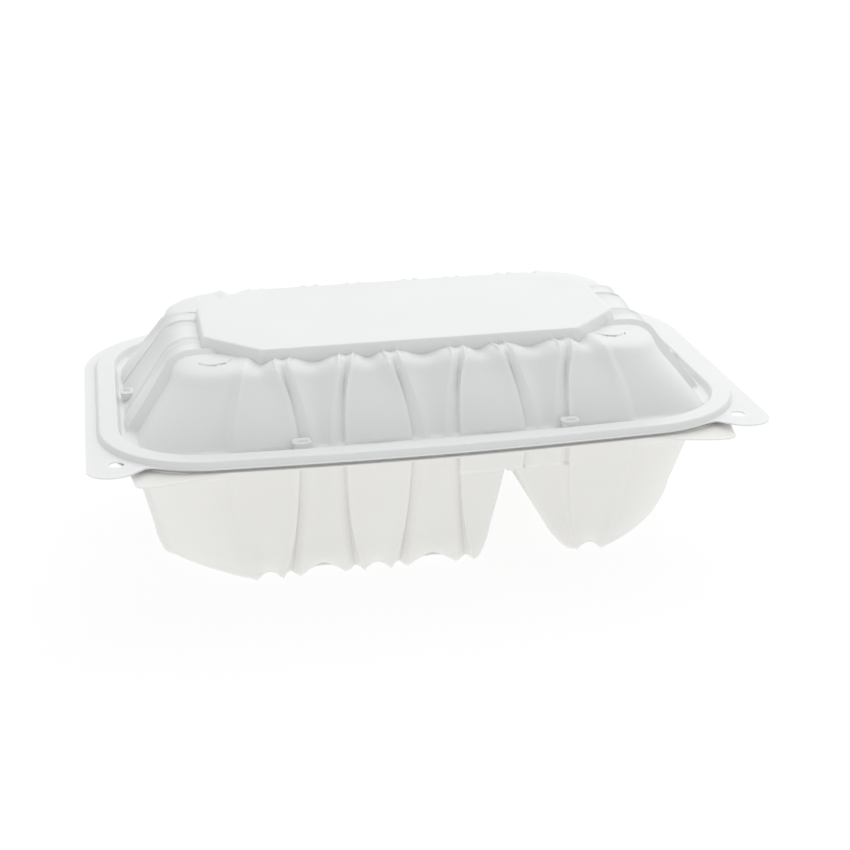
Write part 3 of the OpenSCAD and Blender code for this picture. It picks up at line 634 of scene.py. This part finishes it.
# The lid's flange with its corner tabs
def lidOutline():
    x, y = rim["endX"] - tabs["length"], -rim["frontY"] + tabs["setback"]
    cx, cy = rim["endX"] - tabs["radius"], y + tabs["radius"]
    front = alongFront(outX + rim["frontLip"], outFront + rim["frontLip"],
                       rim["beadRadius"] + rim["frontLip"], 26)
    root = [(x + dx, y + tabs["dip"] * share) for dx, share in tabs["root"]]
    curve = spline([front[-1], *root, (cx, y)])
    corner = arcPoints(cx, cy, tabs["radius"], -90, 0, 14)
    rest = endAndBack(rim["endX"], rim["backY"], cy + 3, 24)
    return closeOutline(np.concatenate([front[:-1], curve[:-1], corner, rest]))


holeX, holeY = rim["endX"] - tabs["holeX"], -rim["frontY"] + tabs["holeY"]
tabHoles = [arcPoints(side * holeX, holeY, tabs["hole"] / 2, 0, 360, 40)[:-1] for side in (-1, 1)]
lidFlange = fillFlat(lidOutline(), [beadRings[-1]] + tabHoles, lidShape["grid"])
lidSkin.flat(lidFlange, lidUpper)
lidPoints, lidFaces = lidSkin.welded()
print("lid skin", len(lidPoints), len(lidFaces))
lidMesh = meshFrom("lid_shell", *thicken(lidPoints, lidFaces, lidShape["thickness"]))

print("stage: vents and lugs")
vents = dict(
    radius=5.6, slit=0.95, lip=0.5, rise=0.4,
    blade=(60, 90),    # from where to where the slit's blade cuts
    places=[(-70, -29.8, 165), (67.6, -29.8, 165),    # x and y of the slit's centre, and its turn
            (-74, 27.5, 130), (72.5, 27.5, 130)],
)
lugs = dict(
    x=45.3, top=(3.1, 2.7), foot=(2.1, 2.3), height=3.4, square=5.5,
    clear=0.7, sink=0.2,    # from the bead, and into the trough
    dish=0.9, dishHalf=(2.0, 1.15), dishSquare=3.5, dishShift=0.75,    # the hollow on top
)
lidTree = BVHTree.FromPolygons([Vector(p) for p in lidPoints], lidFaces)


def onLid(x, y):
    return lidTree.ray_cast(Vector((x, y, 100)), Vector((0, 0, -1)))[0]


def ventTurns(angle, count):
    half = angle / 2
    return np.radians(np.linspace(-90 - half, -90 + half, count))


# The slit is cut out of the lid by a curved blade
def ventBlade(x, y, angle, count=25):
    low, high = vents["blade"]
    points = []
    for g in ventTurns(angle, count):
        taper = vents["slit"] / 2 * (0.35 + 0.65 * math.cos((g + math.pi / 2) * 180 / angle))
        for side, z in ((-1, low), (1, low), (1, high), (-1, high)):
            reach = vents["radius"] + side * taper
            points.append((x + reach * math.cos(g), y + reach * math.sin(g), z))
    faces = [(3, 2, 1, 0), tuple(range(4 * count - 4, 4 * count))]
    for i in range(count - 1):
        for k in range(4):
            a, b = 4 * i + k, 4 * i + (k + 1) % 4
            faces.append((a, b, b + 4, a + 4))
    return points, faces


# The raised edge inside the slit, on the tongue
def ventLip(x, y, angle, count=33, around=10):
    reach = vents["radius"] - vents["slit"] / 2 - vents["lip"] * 0.55
    rings = []
    for i, g in enumerate(ventTurns(angle, count)):
        fade = max(math.sin(math.pi * (i + 0.5) / count), 0.05) ** 0.6
        out = Vector((math.cos(g), math.sin(g), 0))
        place = onLid(x + reach * out.x, y + reach * out.y)
        ring = []
        for k in range(around):
            turn = 2 * math.pi * k / around
            across = vents["lip"] / 2 * fade * math.cos(turn)
            high = vents["rise"] * fade * math.sin(turn)
            ring.append(place + out * across + Vector((0, 0, 1)) * high)
        rings.append(ring)
    skin = Skin()
    skin.rings(rings)
    skin.caps(around)
    return np.array(skin.points), skin.faces


def superellipse(halfX, halfY, z, power, shift=0.0, count=40):
    turns = np.linspace(0, 2 * math.pi, count, endpoint=False)
    c, n = np.cos(turns), np.sin(turns)
    x = halfX * np.sign(c) * np.abs(c) ** (2 / power)
    y = halfY * np.sign(n) * np.abs(n) ** (2 / power)
    return np.stack([x, y + shift, np.full(count, z)], 1)


# A dished pad that widens upwards; +Y is outwards
def lugSkin():
    (hx, hy), (fx, fy), (dx, dy) = lugs["top"], lugs["foot"], lugs["dishHalf"]
    high = lugs["height"]
    sides = ((fx, fy, -lugs["sink"]), (mix(fx, hx, 0.85), mix(fy, hy, 0.85), high - 0.75),
             (hx, hy, high - 0.3), (hx - 0.1, hy - 0.1, high - 0.08), (hx - 0.4, hy - 0.4, high))
    rings = [superellipse(*side, lugs["square"]) for side in sides]
    for t, depth in ((1.08, 0), (1.0, 0.12), (0.86, 0.75), (0.6, 0.95), (0.2, 1)):
        z = high - lugs["dish"] * depth
        rings.append(superellipse(dx * t, dy * t, z, lugs["dishSquare"], lugs["dishShift"]))
    skin = Skin()
    skin.rings(rings)
    skin.caps(len(rings[0]), flip=True)
    return np.array(skin.points), skin.faces


def turned(points, degrees, place):
    g = math.radians(degrees)
    spin = np.array([[math.cos(g), math.sin(g), 0], [-math.sin(g), math.cos(g), 0], [0, 0, 1]])
    return points @ spin + place


def cutMesh(mesh, blades):
    target = bpy.data.objects.new("cut", mesh)
    bpy.context.scene.collection.objects.link(target)
    helpers = []
    for points, faces in blades:
        blade = bpy.data.objects.new("blade", meshFrom("blade", points, faces))
        bpy.context.scene.collection.objects.link(blade)
        step = target.modifiers.new("cut", "BOOLEAN")
        step.operation, step.object, step.solver = "DIFFERENCE", blade, "MANIFOLD"
        helpers.append(blade)
    bpy.context.view_layer.update()
    graph = bpy.context.evaluated_depsgraph_get()
    found = bpy.data.meshes.new_from_object(target.evaluated_get(graph))
    for o in helpers + [target]:
        bpy.data.objects.remove(o)
    return found


def lugReach(bead):
    return bead - beadInner - lugs["clear"] - lugs["top"][1]


lugFront = lugReach(outFront + float(bow(lugs["x"])))
lugBack, lugEnd = lugReach(outBack), lugReach(outX)
lugPlaces = [(side * lugs["x"], -lugFront, 180) for side in (-1, 1)]
lugPlaces += [(side * lugs["x"], lugBack, 0) for side in (-1, 1)]
lugPlaces += [(lugEnd, 0, -90), (-lugEnd, 0, 90)]
lidMesh = cutMesh(lidMesh, [ventBlade(*place) for place in vents["places"]])
lidMesh.name = "lid_shell"
lidPiece = addPiece("lid_shell", lidMesh, "lid")
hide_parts("lid")
smallPieces = []
lugPoints, lugFaces = lugSkin()
for i, (x, y, g) in enumerate(lugPlaces):
    mesh = meshFrom(f"lug_{i + 1}", turned(lugPoints, g, (x, y, lidTrough)), lugFaces)
    smallPieces.append(addPiece(f"lug_{i + 1}", mesh, "lid", 50))
for i, place in enumerate(vents["places"]):
    mesh = meshFrom(f"vent_lip_{i + 1}", *ventLip(*place))
    smallPieces.append(addPiece(f"vent_lip_{i + 1}", mesh, "lid", 50))

print("stage: base shell")
baseShape = dict(
    rimDrop=1.1, rimInsetX=13.6, rimInsetY=14.6, leanX=10.4, leanY=7.2,    # the walls
    cornerCut=2, rimCorner=2.6, footCorner=1.15, cornerRecess=1.6,    # the corners
    ledgeDrop=9, ledge=0.9,    # the step in the corners, below the rim's top
    broadArch=3.8, narrowArch=2.7, footInset=2.4, footRing=3, floor=4, fillet=2.0,    # the foot
    divider=24.3, crest=3.1, dividerHeight=36.3, crown=0.6,    # the wall between the wells
    leanLeft=8, leanRight=22, roundLeft=2, roundRight=1.6,    # its two sides
    thickness=0.5, grid=2.5,    # the sheet, and the spacing of points inside the flange
)
dividerCounts = dict(run=12, rounding=6, across=6, along=26)
flangeUnder = rim["baseTop"] - rim["sheet"]
rimZ = flangeUnder - baseShape["rimDrop"]
ledgeZ = rim["baseTop"] - baseShape["ledgeDrop"]
crestZ = baseShape["dividerHeight"]


# away is how far the wells keep from the divider's side near their floor
def baseLevel(z, lean, deep, inset=0, away=0):
    s = baseShape
    t = (rimZ - z) / rimZ
    a = rim["endX"] - s["rimInsetX"] - s["leanX"] * t
    b = rim["frontY"] - s["rimInsetY"] - s["leanY"] * t
    cut = [mix(s["cornerCut"], size - mix(edges[-1][1], edges[-1][0], t) - flutes["ridge"], t)
           for size, edges in ((a, longEdges), (b, endEdges))]
    square = mix(s["rimCorner"], s["footCorner"], max(t, 0) ** 0.7)
    found = level(z, a - inset, b - inset, cut, square, max(t, 0) ** 1.5, lean, deep)
    found["away"] = away
    return found


def dividerAt(z, side):
    s = baseShape
    t = max(0, s["dividerHeight"] - z) / s["dividerHeight"]
    sunk = 0.85 * t + 0.15 * t ** 6
    if side < 0:
        return s["divider"] - s["leanLeft"] * sunk
    return s["divider"] + s["crest"] + s["leanRight"] * sunk


# Below the divider's crest the wells turn into smooth corners beside it
def placeWells(l):
    s, c = baseShape, baseColumns
    points = placeWall(l, c)
    for i in np.nonzero(c.side)[0]:
        side = -1 if c.side[i] < 0 else 1
        edge = dividerAt(0 if l["z"] == s["floor"] else l["z"], side) + side * l["away"]
        marks = longEdges[0 if side < 0 else 2]
        steep = np.interp(l["share"], flutes["shares"], flutes["steepSide"])
        ridge = mix(marks[1], marks[0], l["share"]) + steep
        recess = s["ledge"] * (0.4 if side < 0 else 1)
        near = edge + side * min(2.2, 0.4 * abs(ridge - edge))
        way = c.way[i]
        if abs(c.side[i]) < 1.5:
            x, y = mix(ridge, near, way), l["b"] - recess * min(1, 4 * way)
        else:    # rounding between the wall and the divider
            turn = math.pi / 2 * way
            x = near + (edge - near) * math.sin(turn)
            y = l["b"] - recess - s["fillet"] * (1 - math.cos(turn))
        points[i] = (c.sx[i] * x, c.sy[i] * y, l["z"])
    return points


def plainMark(p, hollow):
    # a column without a notch, at the same place all the way down
    return (p, p, 0, 0, 0, 0, hollow, 0)


def rimPlace(mark):
    atRim, steep, gentle = mark[1:4]
    return atRim + steep * flutes["steepSide"][0] + gentle * flutes["gentleSide"][0]


def baseHalf():
    # right half of a long side: flutes, smooth part, divider, smooth part, flutes
    s, counts = baseShape, dividerCounts
    n, f, across = counts["run"], counts["rounding"], counts["across"]
    firstEnd = wallCounts["middle"] + wallCounts["notch"]
    secondEnd = firstEnd + 2 * wallCounts["notch"] + sum(wallCounts["flute"][:2])
    start, stop = rimPlace(longHalf[firstEnd]), s["divider"]
    first, last = stop + s["crest"] + s["roundRight"], rimPlace(longHalf[secondEnd])
    rows = plainHalf[:firstEnd]
    for i in range(n):
        p = mix(start, stop - s["roundLeft"], i / n)
        rows.append((plainMark(p, 0.4 * min(1, 4 * i / n)), -1, i / n))
    for i in range(f + 1):
        p = mix(stop - s["roundLeft"], stop, i / f)
        rows.append((plainMark(p, 0.4 - 0.2 * i / f), -2, i / f))
    for i in range(1, across):
        p = stop + s["crest"] * i / across
        rows.append((plainMark(p, 0.2 - 0.1 * i / across), 0, 0))
    for i in range(f, -1, -1):
        p = stop + s["crest"] + s["roundRight"] * (1 - i / f)
        rows.append((plainMark(p, 0.1 * i / f), 2, i / f))
    for mark in longHalf[:secondEnd]:
        p = rimPlace(mark)
        if p > first + 0.2:
            rows.append((mark, 1, (last - p) / (last - first)))
    return rows + plainHalf[secondEnd:]


baseColumns = loopOfColumns(baseHalf())


def wellDeep(narrow, broad, corner):
    return lidShape["notch"], narrow, broad, corner


rimDeep = wellDeep(-lidShape["bulge"], lidShape["broad"] * 0.4, baseShape["cornerRecess"])


def bandRing(z, cornerZ, ledge, place):
    # a ring of the band under the rim, with its corners at a height and depth of their own
    points = place(baseLevel(z, (1, 0), rimDeep))
    cornerDeep = (0, 0, 0, baseShape["cornerRecess"] + ledge)
    other = placeWall(baseLevel(cornerZ, (1, 0), cornerDeep), baseColumns)
    corner = baseColumns.kind == cornerKind
    points[corner] = other[corner]
    fillSteps(points, baseColumns, 1)
    return points


def placeBand(l):
    return placeWall(l, baseColumns)


bandTop = bandRing(rimZ, rimZ, 0, placeBand)
bandLow = bandRing(crestZ + 0.9, ledgeZ + 0.6, 0, placeBand)
bandEnd = bandRing(crestZ, ledgeZ, baseShape["ledge"], placeWells)
band = [mix(bandTop, bandLow, t) for t in np.linspace(0, 1, 11)]
ledge = [mix(bandLow, bandEnd, t) for t in (0.12, 0.5, 0.88)]
narrow, broad, footInset = (baseShape[k] for k in ("narrowArch", "broadArch", "footInset"))
wellLevels = [    # down the wells' outer walls to the arched feet
    baseLevel(crestZ * 0.45, (1, -0.15),
              wellDeep(-lidShape["bulge"] * 0.3, lidShape["broad"] * 0.6, 1.8)),
    baseLevel(5, (0.97, -0.25), wellDeep(narrow * 0.45, broad * 0.5, 1.8)),
    baseLevel(1.3, (0.6, -0.8), wellDeep(narrow * 0.9, broad * 0.85, 1.2), 0.9, 0.3),
    baseLevel(0, (0, -1), wellDeep(narrow, broad, 0), footInset, 0.8),
]
floorInset = footInset + baseShape["footRing"]
floorLevel = baseLevel(baseShape["floor"], (0, -1), noFlutes, floorInset, 1.4)
wellRings = throughLevels([bandEnd] + [placeWells(l) for l in wellLevels], (12, 9, 6, 5))
floorRing = placeWells(floorLevel)
wellRings += [mix(wellRings[-1], floorRing, t) for t in (0.3, 0.65, 1)]
for ring in wellRings:
    ring[:, 2] = np.maximum(ring[:, 2], 0)

# The base's bead stands inside the lid's; inset, height and rounding of each corner
beadUnder = beadZ - rim["sheet"] - rim["nest"] - rim["sheet"]
baseBead = roundedPath([
    (0.4, flangeUnder, 0), (1.22, flangeUnder, 0.4), (2.3, beadUnder, 0.6),
    (5.8, beadUnder, 0.6), (7.12, 49.4, 0.4), (8.6, 49.3, 0)])
baseBeadRings = [rimRing(baseColumns, inset, z) for inset, z in baseBead]
shoulderRings = []
for t in (0.35, 0.7):
    ring = mix(baseBeadRings[-1], bandTop, t)
    ring[:, 2] += 0.25 * math.sin(math.pi * t)
    shoulderRings.append(ring)
baseSkin = Skin()
baseSkin.rings(baseBeadRings + shoulderRings + band + ledge + [wellRings[0]])


# Each well's ring is its share of the loop and a straight run along the divider
def wellLoop(points, ids):
    a, b, n = points[ids[-1]], points[ids[0]], dividerCounts["along"]
    return np.concatenate([points[ids], [mix(a, b, k / n) for k in range(1, n)]])


def crestColumn(side, sy):
    c = baseColumns
    return np.nonzero((c.side == side) & (c.way == 1) & (c.sy == sy))[0][0]


# The crest's ends meet the wall on the loop's own points
def crestRows(ring):
    n, across = dividerCounts["along"], dividerCounts["across"]
    crown = baseShape["crown"] * np.sin(np.pi * np.linspace(0, 1, across + 1))
    rows = [ring[leftFront:rightFront + 1]]
    for k in range(1, n):
        a = mix(ring[leftFront], ring[leftBack], k / n)
        b = mix(ring[rightFront], ring[rightBack], k / n)
        row = np.array([mix(a, b, j / across) for j in range(across + 1)])
        row[:, 2] += crown
        rows.append(row)
    return rows + [ring[rightBack:leftBack + 1][::-1]]


leftFront, leftBack = crestColumn(-2, -1), crestColumn(-2, 1)
rightFront, rightBack = crestColumn(2, -1), crestColumn(2, 1)
leftIds = np.concatenate([np.arange(leftBack, baseColumns.count), np.arange(0, leftFront + 1)])
rightIds = np.arange(rightFront, rightBack + 1)
for ids in (leftIds, rightIds):
    loops = [wellLoop(ring, ids) for ring in wellRings]
    baseSkin.rings(loops)
    baseSkin.flat(fillFlat(loops[-1]), baseShape["floor"], False)
baseSkin.rings(crestRows(wellRings[0]), closed=False)

lobes = dict(
    reach=2, length=30, inset=15, show=0.7,
    droop=1.0, droopY=(57, 16), droopX=(6, 22),    # how far the lobes hang, from where, over what
    rise=((0, 0), (5, 0.3), (10, 0.75)),    # from the lobe's start, share of the way out
    tip=((-8, 0), (-3, 0.3), (-0.8, 1.4), (0, 3), (0.6, 7), (1.8, 12), (4, 18)),    # round its end
)
baseEndX, baseBackY = rim["endX"] - 0.7, rim["hingeY"] - 0.42
lobeX = rim["endX"] - lobes["inset"]
lobeStart = lobeX - lobes["length"]


# The base's flange with its two lifting lobes
def baseOutline():
    y, root = -rim["frontY"] - lobes["reach"], -rim["frontY"] + rim["bow"] * 0.6
    front = alongFront(outX, outFront + rim["frontLip"] + lobes["show"], rim["beadRadius"], 0)
    front = front[front[:, 0] < lobeStart - 3]
    rise = [(lobeStart + dx, mix(root, y, share)) for dx, share in lobes["rise"]]
    tip = [(lobeX + dx, y + dy) for dx, dy in lobes["tip"]]
    curve = spline([front[-1], *rise, (lobeStart + 15, y + 0.3), *tip,
                    (baseEndX - 6, y + 25), (baseEndX, y + 36)])
    rest = endAndBack(baseEndX, baseBackY, y + 38, 20)
    return closeOutline(np.concatenate([front[:-1], curve, rest]))


def droopAt(flat):
    (fromY, lengthY), (fromX, lengthX) = lobes["droopY"], lobes["droopX"]
    far = smooth((-flat[:, 1] - fromY) / lengthY)
    over = smooth((np.abs(flat[:, 0]) - lobeStart - fromX) / lengthX)
    return flangeUnder - lobes["droop"] * far * over


baseFlange = fillFlat(baseOutline(), [baseBeadRings[0]], baseShape["grid"])
baseSkin.flat(baseFlange, droopAt, False)
points, faces = baseSkin.welded()
print("base skin", len(points), len(faces))
baseMesh = meshFrom("base_shell", *thicken(points, faces, baseShape["thickness"]))
basePiece = addPiece("base_shell", baseMesh, "base")
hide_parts("base_tray")

print("stage: fold")
fold = dict(half=71.6, radius=0.5, thickness=0.4, z=50.7, rise=0.7, back=0.1,
            flaps=(-2.4, -1.6, -0.8))    # the strip's two ends, from the fold's axis
low, high = ([(rim["hingeY"] + u, fold["z"] + side * fold["rise"]) for u in fold["flaps"]]
             for side in (-1, 1))
bend = [(rim["hingeY"] - fold["back"] + fold["radius"] * math.cos(g),
         fold["z"] + fold["rise"] * math.sin(g)) for g in np.radians(np.linspace(-90, 90, 15))]
foldSkin = Skin()
foldSkin.rings([[(x, y, z) for y, z in low + bend + high[::-1]]
                for x in np.linspace(-fold["half"], fold["half"], 60)], closed=False)
points, faces = foldSkin.welded()
foldMesh = meshFrom("fold_strip", *thicken(points, faces, fold["thickness"]))
foldPiece = addPiece("fold_strip", foldMesh, None, 60)
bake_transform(foldPiece)

print("stage: camera and light")
view = dict(place=(-100.35, -551.91, 254.82), azimuth=11.05, elevation=21.57, roll=-0.49,
            lens=69.19)
az, el, roll = (math.radians(view[k]) for k in ("azimuth", "elevation", "roll"))
forward = Vector((math.sin(az) * math.cos(el), math.cos(az) * math.cos(el), -math.sin(el)))
right = forward.cross(Vector((0, 0, 1))).normalized()
up = right.cross(forward)
tilt, keep = math.sin(roll), math.cos(roll)
right, up = right * keep + up * tilt, up * keep - right * tilt
cameraData = bpy.data.cameras.new("view")
cameraData.lens, cameraData.sensor_width = view["lens"], 36
cameraData.clip_start, cameraData.clip_end = 0.01, 20
camera = bpy.data.objects.new("view", cameraData)
camera.matrix_world = Matrix((right, up, -forward)).transposed().to_4x4()
camera.matrix_world.translation = Vector(view["place"]) * toMetres
bpy.context.scene.collection.objects.link(camera)
bpy.context.scene.camera = camera
bpy.context.scene.view_settings.view_transform = "Standard"

# The table is a light table: it glows, and takes only a faint shadow
table = dict(half=6, drop=0.00002, colour=0.14, glow=0.875)
floorMesh = bpy.data.meshes.new("floor")
far = table["half"]
floorCorners = [(-far, -far, 0), (far, -far, 0), (far, far, 0), (-far, far, 0)]
floorMesh.from_pydata(floorCorners, [], [(0, 1, 2, 3)])
floor = bpy.data.objects.new("floor", floorMesh)
floor.location.z = -table["drop"]
bpy.context.scene.collection.objects.link(floor)


# A socket that takes part in sums; make() adds any node
class Wire:
    def __init__(self, tree, socket=None):
        self.tree, self.socket = tree, socket

    def make(self, kind, settings=None, inputs=None, output=0):
        node = self.tree.nodes.new(kind)
        for key, value in (settings or {}).items():
            setattr(node, key, value)
        for key, value in (inputs or {}).items():
            if isinstance(value, Wire):
                self.tree.links.new(value.socket, node.inputs[key])
            else:
                node.inputs[key].default_value = value
        return Wire(self.tree, node.outputs[output] if len(node.outputs) else None)

    def math(self, operation, first, second=0.0):
        return self.make("ShaderNodeMath", {"operation": operation}, {0: first, 1: second})

    def __add__(self, other):
        return self.math("ADD", self, other)

    def __radd__(self, other):
        return self.math("ADD", other, self)

    def __sub__(self, other):
        return self.math("SUBTRACT", self, other)

    def __rsub__(self, other):
        return self.math("SUBTRACT", other, self)

    def __mul__(self, other):
        return self.math("MULTIPLY", self, other)

    def __rmul__(self, other):
        return self.math("MULTIPLY", other, self)

    def __pow__(self, other):
        return self.math("POWER", self, other)


def newMaterial(name):
    material = bpy.data.materials.new(name)
    material.use_nodes = True
    tree = material.node_tree
    tree.nodes.clear()
    return material, Wire(tree)


sheet = dict(
    roughness=0.42, fineRough=0.16, broadRough=0.1,    # and how much the two grains change it
    broad=28.0, fine=900.0, speck=160.0,    # scales of the grains and of the specks
    broadBump=1.4, fineBump=0.6, speckBump=0.1, bump=0.25, relief=0.0003,
    ridge=0.5, crease=0.35,    # how soon a bend shows the painted highlight on ridges or the painted shade in creases
)
# The base's colours are warmer and brighter than the lid's: painted light that shines through the
# base's sheet
lidLook = dict(pale=(0.855, 0.865, 0.865, 1), deep=(0.825, 0.838, 0.842, 1),
               paintedHighlight=(0.96, 0.965, 0.965, 1), shade=(0.62, 0.635, 0.64, 1))
baseLook = dict(pale=(0.90, 0.895, 0.87, 1), deep=(0.875, 0.87, 0.845, 1),
                paintedHighlight=(0.97, 0.97, 0.96, 1), shade=(0.70, 0.70, 0.67, 1))


def sheetMaterial(name, look):
    material, wire = newMaterial(name)

    def noise(kind, **values):
        return wire.make(kind, inputs={"Vector": place, **values})

    def between(share, first, second):
        return wire.make("ShaderNodeMix", {"data_type": "RGBA"},
                         {"Factor": share, 6: first, 7: second}, output=2)

    place = wire.make("ShaderNodeNewGeometry", output="Position")
    broad = noise("ShaderNodeTexNoise", Scale=sheet["broad"], Detail=3.0)
    fine = noise("ShaderNodeTexNoise", Scale=sheet["fine"], Detail=4.0, Roughness=0.6)
    speck = noise("ShaderNodeTexVoronoi", Scale=sheet["speck"])
    bend = wire.make("ShaderNodeAttribute", {"attribute_name": "bend"}, output="Fac")
    ridge = wire.make("ShaderNodeClamp", inputs={"Value": bend * sheet["ridge"]})
    crease = wire.make("ShaderNodeClamp", inputs={"Value": bend * -sheet["crease"]})
    colour = between(broad, look["pale"], look["deep"])
    # ridges get a lighter colour, a painted highlight; creases get a darker one, painted shade
    colour = between(ridge, colour, look["paintedHighlight"])
    colour = between(crease, colour, look["shade"])
    roughness = (sheet["roughness"] + (fine - 0.5) * sheet["fineRough"]
                 + (broad - 0.5) * sheet["broadRough"])
    height = ((fine - 0.5) * sheet["fineBump"] + (broad - 0.5) * sheet["broadBump"]
              + speck * sheet["speckBump"])
    bump = wire.make("ShaderNodeBump", inputs={
        "Height": height, "Strength": sheet["bump"], "Distance": sheet["relief"]})
    shader = wire.make("ShaderNodeBsdfPrincipled", inputs={
        "Base Color": colour, "Roughness": roughness, "Normal": bump, "IOR": 1.49})
    wire.make("ShaderNodeOutputMaterial", inputs={"Surface": shader})
    return material


lidMaterial = sheetMaterial("lid_sheet", lidLook)
baseMaterial = sheetMaterial("base_sheet", baseLook)
for piece in [lidPiece] + smallPieces:
    piece.data.materials.append(lidMaterial)
for piece in (basePiece, foldPiece):
    piece.data.materials.append(baseMaterial)

floorMaterial, wire = newMaterial("floor")
paper = wire.make("ShaderNodeBsdfDiffuse", inputs={"Color": (table["colour"],) * 3 + (1,)})
glow = wire.make("ShaderNodeEmission", inputs={"Color": (1, 1, 1, 1), "Strength": table["glow"]})
shader = wire.make("ShaderNodeAddShader", inputs={0: paper, 1: glow})
wire.make("ShaderNodeOutputMaterial", inputs={"Surface": shader})
floorMesh.materials.append(floorMaterial)

# An even tent, and a soft lamp behind and above
light = dict(sky=0.655, lobe=1.3, sharp=4, back=(0.35, 0.62, 0.70),
             seen=1.0)    # the camera sees a plain white tent
world = bpy.data.worlds.new("tent")
bpy.context.scene.world = world
world.use_nodes = True
world.node_tree.nodes.clear()
wire = Wire(world.node_tree)
direction = wire.make("ShaderNodeTexCoord", output="Generated")
toLamp = tuple(Vector(light["back"]).normalized())
facing = wire.make("ShaderNodeVectorMath", {"operation": "DOT_PRODUCT"},
                   {0: direction, 1: toLamp}, output="Value")
facing = wire.make("ShaderNodeClamp", inputs={"Value": facing})
strength = light["sky"] + light["lobe"] * facing ** light["sharp"]
tent = wire.make("ShaderNodeBackground", inputs={"Color": (1, 1, 1, 1), "Strength": strength})
plain = wire.make("ShaderNodeBackground", inputs={
    "Color": (1, 1, 1, 1), "Strength": light["seen"]})
isCamera = wire.make("ShaderNodeLightPath", output="Is Camera Ray")
both = wire.make("ShaderNodeMixShader", inputs={0: isCamera, 1: tent, 2: plain})
wire.make("ShaderNodeOutputWorld", inputs={"Surface": both})

print("stage: done")
